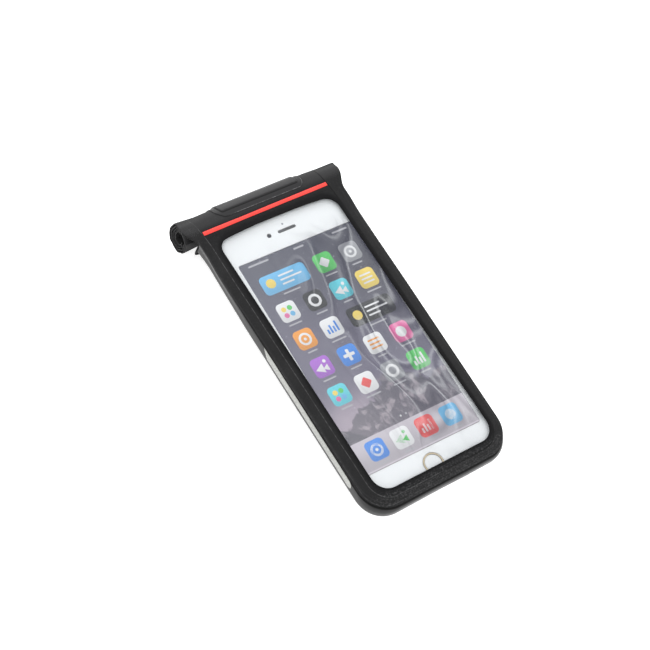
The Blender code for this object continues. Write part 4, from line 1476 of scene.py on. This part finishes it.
@dataclass
class Screen:
    """Home screen of the phone: a plain layout of tiles over a dusk wallpaper."""

    level: float = 17.72 * MM
    layer: float = 0.012 * MM
    tile: float = 10.6
    rounding: float = 2.4
    caption_drop: float = 7.1
    shape: bmesh.types.BMesh = field(default_factory=bmesh.new)
    names: list[str] = field(default_factory=lambda: list(SCREEN_COLOURS))

    def put(self, verts: Iterable[bmesh.types.BMVert], at: Point, colour: str, depth: int) -> None:
        """Move a figure into its place on the screen and colour it.

        Args:
            verts: The figure's vertices, round the origin.
            at: Its place, in millimetres from the screen's middle.
            colour: Name of its colour.
            depth: Layer that it lies in.
        """
        verts = list(verts)
        place = Matrix.Translation((*SCREEN_MIDDLE, self.level + depth * self.layer))
        place = place @ Matrix.Rotation(SCREEN_TURN, 4, "Z")
        place = place @ Matrix.Translation((at[0] * MM, at[1] * MM, 0.0))
        bmesh.ops.transform(self.shape, matrix=place, verts=verts)
        index = self.names.index(colour)
        for face in {face for vert in verts for face in vert.link_faces}:
            face.material_index = index

    def plate(self, at: Point, size: Point, radius: float, colour: str, depth: int,
              turn: float = 0.0) -> None:
        """A rounded rectangle, with sizes in millimetres."""
        before = set(self.shape.verts)
        made = bmesh.ops.create_grid(self.shape, x_segments=1, y_segments=1, size=0.5)["verts"]
        bmesh.ops.scale(self.shape, verts=made, vec=(size[0] * MM, size[1] * MM, 1.0))
        bmesh.ops.bevel(
            self.shape, geom=made, offset=radius * MM, affect="VERTICES", segments=6,
            profile=0.5, material=-1,
        )
        fresh = [v for v in self.shape.verts if v not in before]
        bmesh.ops.rotate(self.shape, verts=fresh, matrix=Matrix.Rotation(turn, 3, "Z"))
        self.put(fresh, at, colour, depth)

    def disc(self, at: Point, radius: float, sides: int, colour: str, depth: int,
             turn: float = 0.0) -> None:
        """A filled circle or polygon, with sizes in millimetres."""
        made = bmesh.ops.create_circle(
            self.shape, cap_ends=True, segments=sides, radius=radius * MM
        )["verts"]
        bmesh.ops.rotate(self.shape, verts=made, matrix=Matrix.Rotation(turn, 3, "Z"))
        self.put(made, at, colour, depth)

    def motif(self, at: Point, kind: Motif, ink: str, ground: str) -> None:
        """Draw a plain figure on a tile.

        Args:
            at: The tile's middle.
            kind: Which figure.
            ink: Its colour.
            ground: The tile's own colour.
        """
        tones = {"ink": ink, "ground": ground}
        for dx, dy, size, edge, turn, tone, depth in kind.value:
            draw = self.plate if isinstance(size, tuple) else self.disc
            spot = (at[0] + dx, at[1] + dy)
            draw(spot, size, edge, tones.get(tone, tone), depth, math.radians(turn))

    def place(self, column: float, row: float, width: float, ground: str, label: float) -> Point:
        """Lay a tile of the grid with its caption bar.

        Args:
            column: Its column, counted from 0.
            row: Its row, counted from 0.
            width: Its width in millimetres.
            ground: Its colour.
            label: Length of its caption bar.

        Returns:
            Its middle.
        """
        x, y = (column - 1.5) * TILE_PITCH[0], TOP_ROW - row * TILE_PITCH[1]
        self.plate((x, y), (width, self.tile), self.rounding, ground, 1)
        self.plate((x, y - self.caption_drop), (label, 0.8), 0.35, "label", 1)
        return x, y

    def wide(self, column: float, row: float, ground: str) -> None:
        """A double-width tile whose middle lies between two columns."""
        x, y = self.place(column, row, self.tile + TILE_PITCH[0], ground, 10.0)
        self.disc((x - 8.0, y + 0.4), 2.6, ROUND, "yellow", 2)
        for i, length in enumerate((9.0, 12.5, 7.0)):
            self.plate((x - 2.5 + length / 2, y + 2.6 - 2.4 * i), (length, 0.9), 0.4, "white", 2)

    def build(self) -> None:
        """Lay out the screen."""
        for x, length in ((-24.0, 12.0), (25.0, 9.0), (0.0, 6.0)):
            self.plate((x, 58.6), (length, 1.0), 0.4, "label", 1)
        for column, row, ground, kind, ink, label in (
            (2, 0, "green", Motif.DIAMOND, "white", 7.0), (3, 0, "grey", Motif.RING, "white", 6.0),
            (0, 1, "white", Motif.DOTS, "pink", 7.5), (1, 1, "black", Motif.SUN, "white", 6.5),
            (2, 1, "cyan", Motif.PEAK, "white", 5.5), (3, 1, "yellow", Motif.ROWS, "white", 8.5),
            (0, 2, "orange", Motif.RING, "white", 5.5), (1, 2, "white", Motif.BARS, "blue", 8.5),
            (0, 3, "violet", Motif.PEAK, "white", 7.5), (1, 3, "blue", Motif.CROSS, "white", 6.5),
            (2, 3, "white", Motif.ROWS, "orange", 5.5), (3, 3, "pink", Motif.DISC, "white", 8.5),
            (1, 4, "white", Motif.DIAMOND, "red", 8.5), (2, 4, "grey", Motif.SUN, "white", 7.5),
            (3, 4, "green", Motif.BARS, "white", 6.5), (0, 4, "cyan", Motif.DOTS, "white", 6.5),
        ):
            self.motif(self.place(column, row, self.tile, ground, label), kind, ink, ground)
        self.wide(0.5, 0, "sky")
        self.wide(2.5, 2, "black")
        for x, y, colour in ((-1.6, -41.4, "white"), (1.6, -41.4, "label"), (-0.8, 73.3, "grey")):
            self.disc((x, y), 0.55, ROUND, colour, 1)
        self.plate((0.0, -52.5), (68.4, 16.6), 0.1, "dock", 1)
        for x, ground, kind, ink in (
            (-22.35, "blue", Motif.RING, "white"), (-7.45, "white", Motif.PEAK, "green"),
            (7.45, "red", Motif.BARS, "white"), (22.35, "sky", Motif.DISC, "white"),
        ):
            self.plate((x, -51.4), (self.tile, self.tile), self.rounding, ground, 2)
            self.motif((x, -51.4), kind, ink, ground)
            self.plate((x, -58.6), (5.5, 0.8), 0.35, "label", 2)
        materials = [Lit(name, SCREEN_COLOURS[name]).make() for name in self.names]
        for face in self.shape.faces:
            if face.normal.z < 0:
                face.normal_flip()
        make("home_screen", self.shape, materials)


@dataclass
class Phone:
    """The phone's own solids in their finishes, and its home screen."""

    def build(self, materials: dict[str, bpy.types.Material]) -> None:
        """Dress the phone."""
        for node, finish in (
            ("body", "aluminium"), ("front_glass", "white_glass"), ("home_button", "white_glass"),
            ("home_ring", "gold_ring"), ("receiver", "dark"), ("lens", "lens"),
        ):
            dress("phone_" + node, materials[finish])
        dress("phone_display", Wallpaper().make())
        Screen().build()


# ---------------------------------------------------------------- studio


@dataclass
class Studio:
    """Plain pale floor, soft lights and the camera."""

    eye: Colour = (-0.440340, -0.230288, 0.80109)
    right: Colour = (0.802221, -0.526512, 0.281475)
    up: Colour = (0.373387, 0.810337, 0.451593)
    back: Colour = (-0.465858, -0.257178, 0.846661)
    lens: float = 105.007
    floor: Colour = (0.88, 0.88, 0.88)
    floor_glow: float = 0.60
    ambient: float = 1.02

    def camera(self) -> None:
        """Place the camera at the photograph's angle."""
        data = bpy.data.cameras.new("camera")
        data.lens = self.lens
        data.sensor_width = 36.0
        data.clip_start = 0.01
        camera = bpy.data.objects.new("camera", data)
        turn = Matrix((self.right, self.up, self.back)).transposed().to_4x4()
        camera.matrix_world = Matrix.Translation(self.eye) @ turn
        bpy.context.scene.collection.objects.link(camera)
        bpy.context.scene.camera = camera

    def softbox(self, name: str, at: Colour, size: float, power: float) -> None:
        """A square soft light aimed at the pouch.

        Args:
            name: The light's name.
            at: Where it stands.
            size: Its side.
            power: Watts.
        """
        data = bpy.data.lights.new(name, "AREA")
        data.size = size
        data.energy = power
        light = bpy.data.objects.new(name, data)
        light.location = at
        light.rotation_euler = (-Vector(at)).to_track_quat("-Z", "Y").to_euler()
        bpy.context.scene.collection.objects.link(light)

    def build(self) -> None:
        """Set the studio up."""
        scene = bpy.context.scene
        scene.view_settings.view_transform = "Standard"
        world = bpy.data.worlds.new("studio")
        world.use_nodes = True
        sky = world.node_tree.nodes["Background"]
        sky.inputs["Color"].default_value = (1.0, 1.0, 1.0, 1.0)
        sky.inputs["Strength"].default_value = self.ambient
        scene.world = world
        shape = bmesh.new()
        bmesh.ops.create_grid(shape, x_segments=8, y_segments=8, size=3.0)
        mesh = bpy.data.meshes.new("floor")
        shape.to_mesh(mesh)
        shape.free()
        floor = bpy.data.objects.new("floor", mesh)
        scene.collection.objects.link(floor)
        r = Recipe("floor")
        cloudy = r.noise(3.0, 2.0)
        light = tuple(c * 1.02 for c in self.floor)
        mesh.materials.append(r.finish(
            r.blend(cloudy, self.floor, light), 0.9,
            Emission_Color=(1.0, 1.0, 1.0, 1.0), Emission_Strength=self.floor_glow,
        ))
        self.softbox("back", (0.15, 1.15, 0.60), 0.9, 12.0)
        self.softbox("fill", (-0.9, 0.2, 0.8), 0.8, 3.0)
        self.softbox("low", (0.3, -0.9, 0.5), 0.7, 3.0)
        self.camera()


def main() -> None:
    """Build all sub-assemblies in order and report them."""
    logging.basicConfig(level=logging.INFO, format="%(name)s: %(message)s")
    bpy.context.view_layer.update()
    cloth = FrontFabric().make()
    wall = WallFabric().make()
    rear = WallFabric("rear_fabric", roughness=0.52, shaded=False).make()
    edge = CutEdge().make()
    materials = {finish.name: finish.make() for finish in FINISHES}
    reflective = Reflective().make()
    FrontSheet().build(cloth, edge)
    RearSheet().build(rear, edge)
    walls = SideWall()
    walls.build(wall, edge)
    walls.reflector(-1, "reflector_left", reflective)
    walls.reflector(1, "reflector_right", reflective)
    WindowFilm().build(ClearFilm().make())
    Closure().build(materials)
    BackStack().build(materials)
    Phone().build(materials)
    Studio().build()


if __name__ == "__main__":
    main()
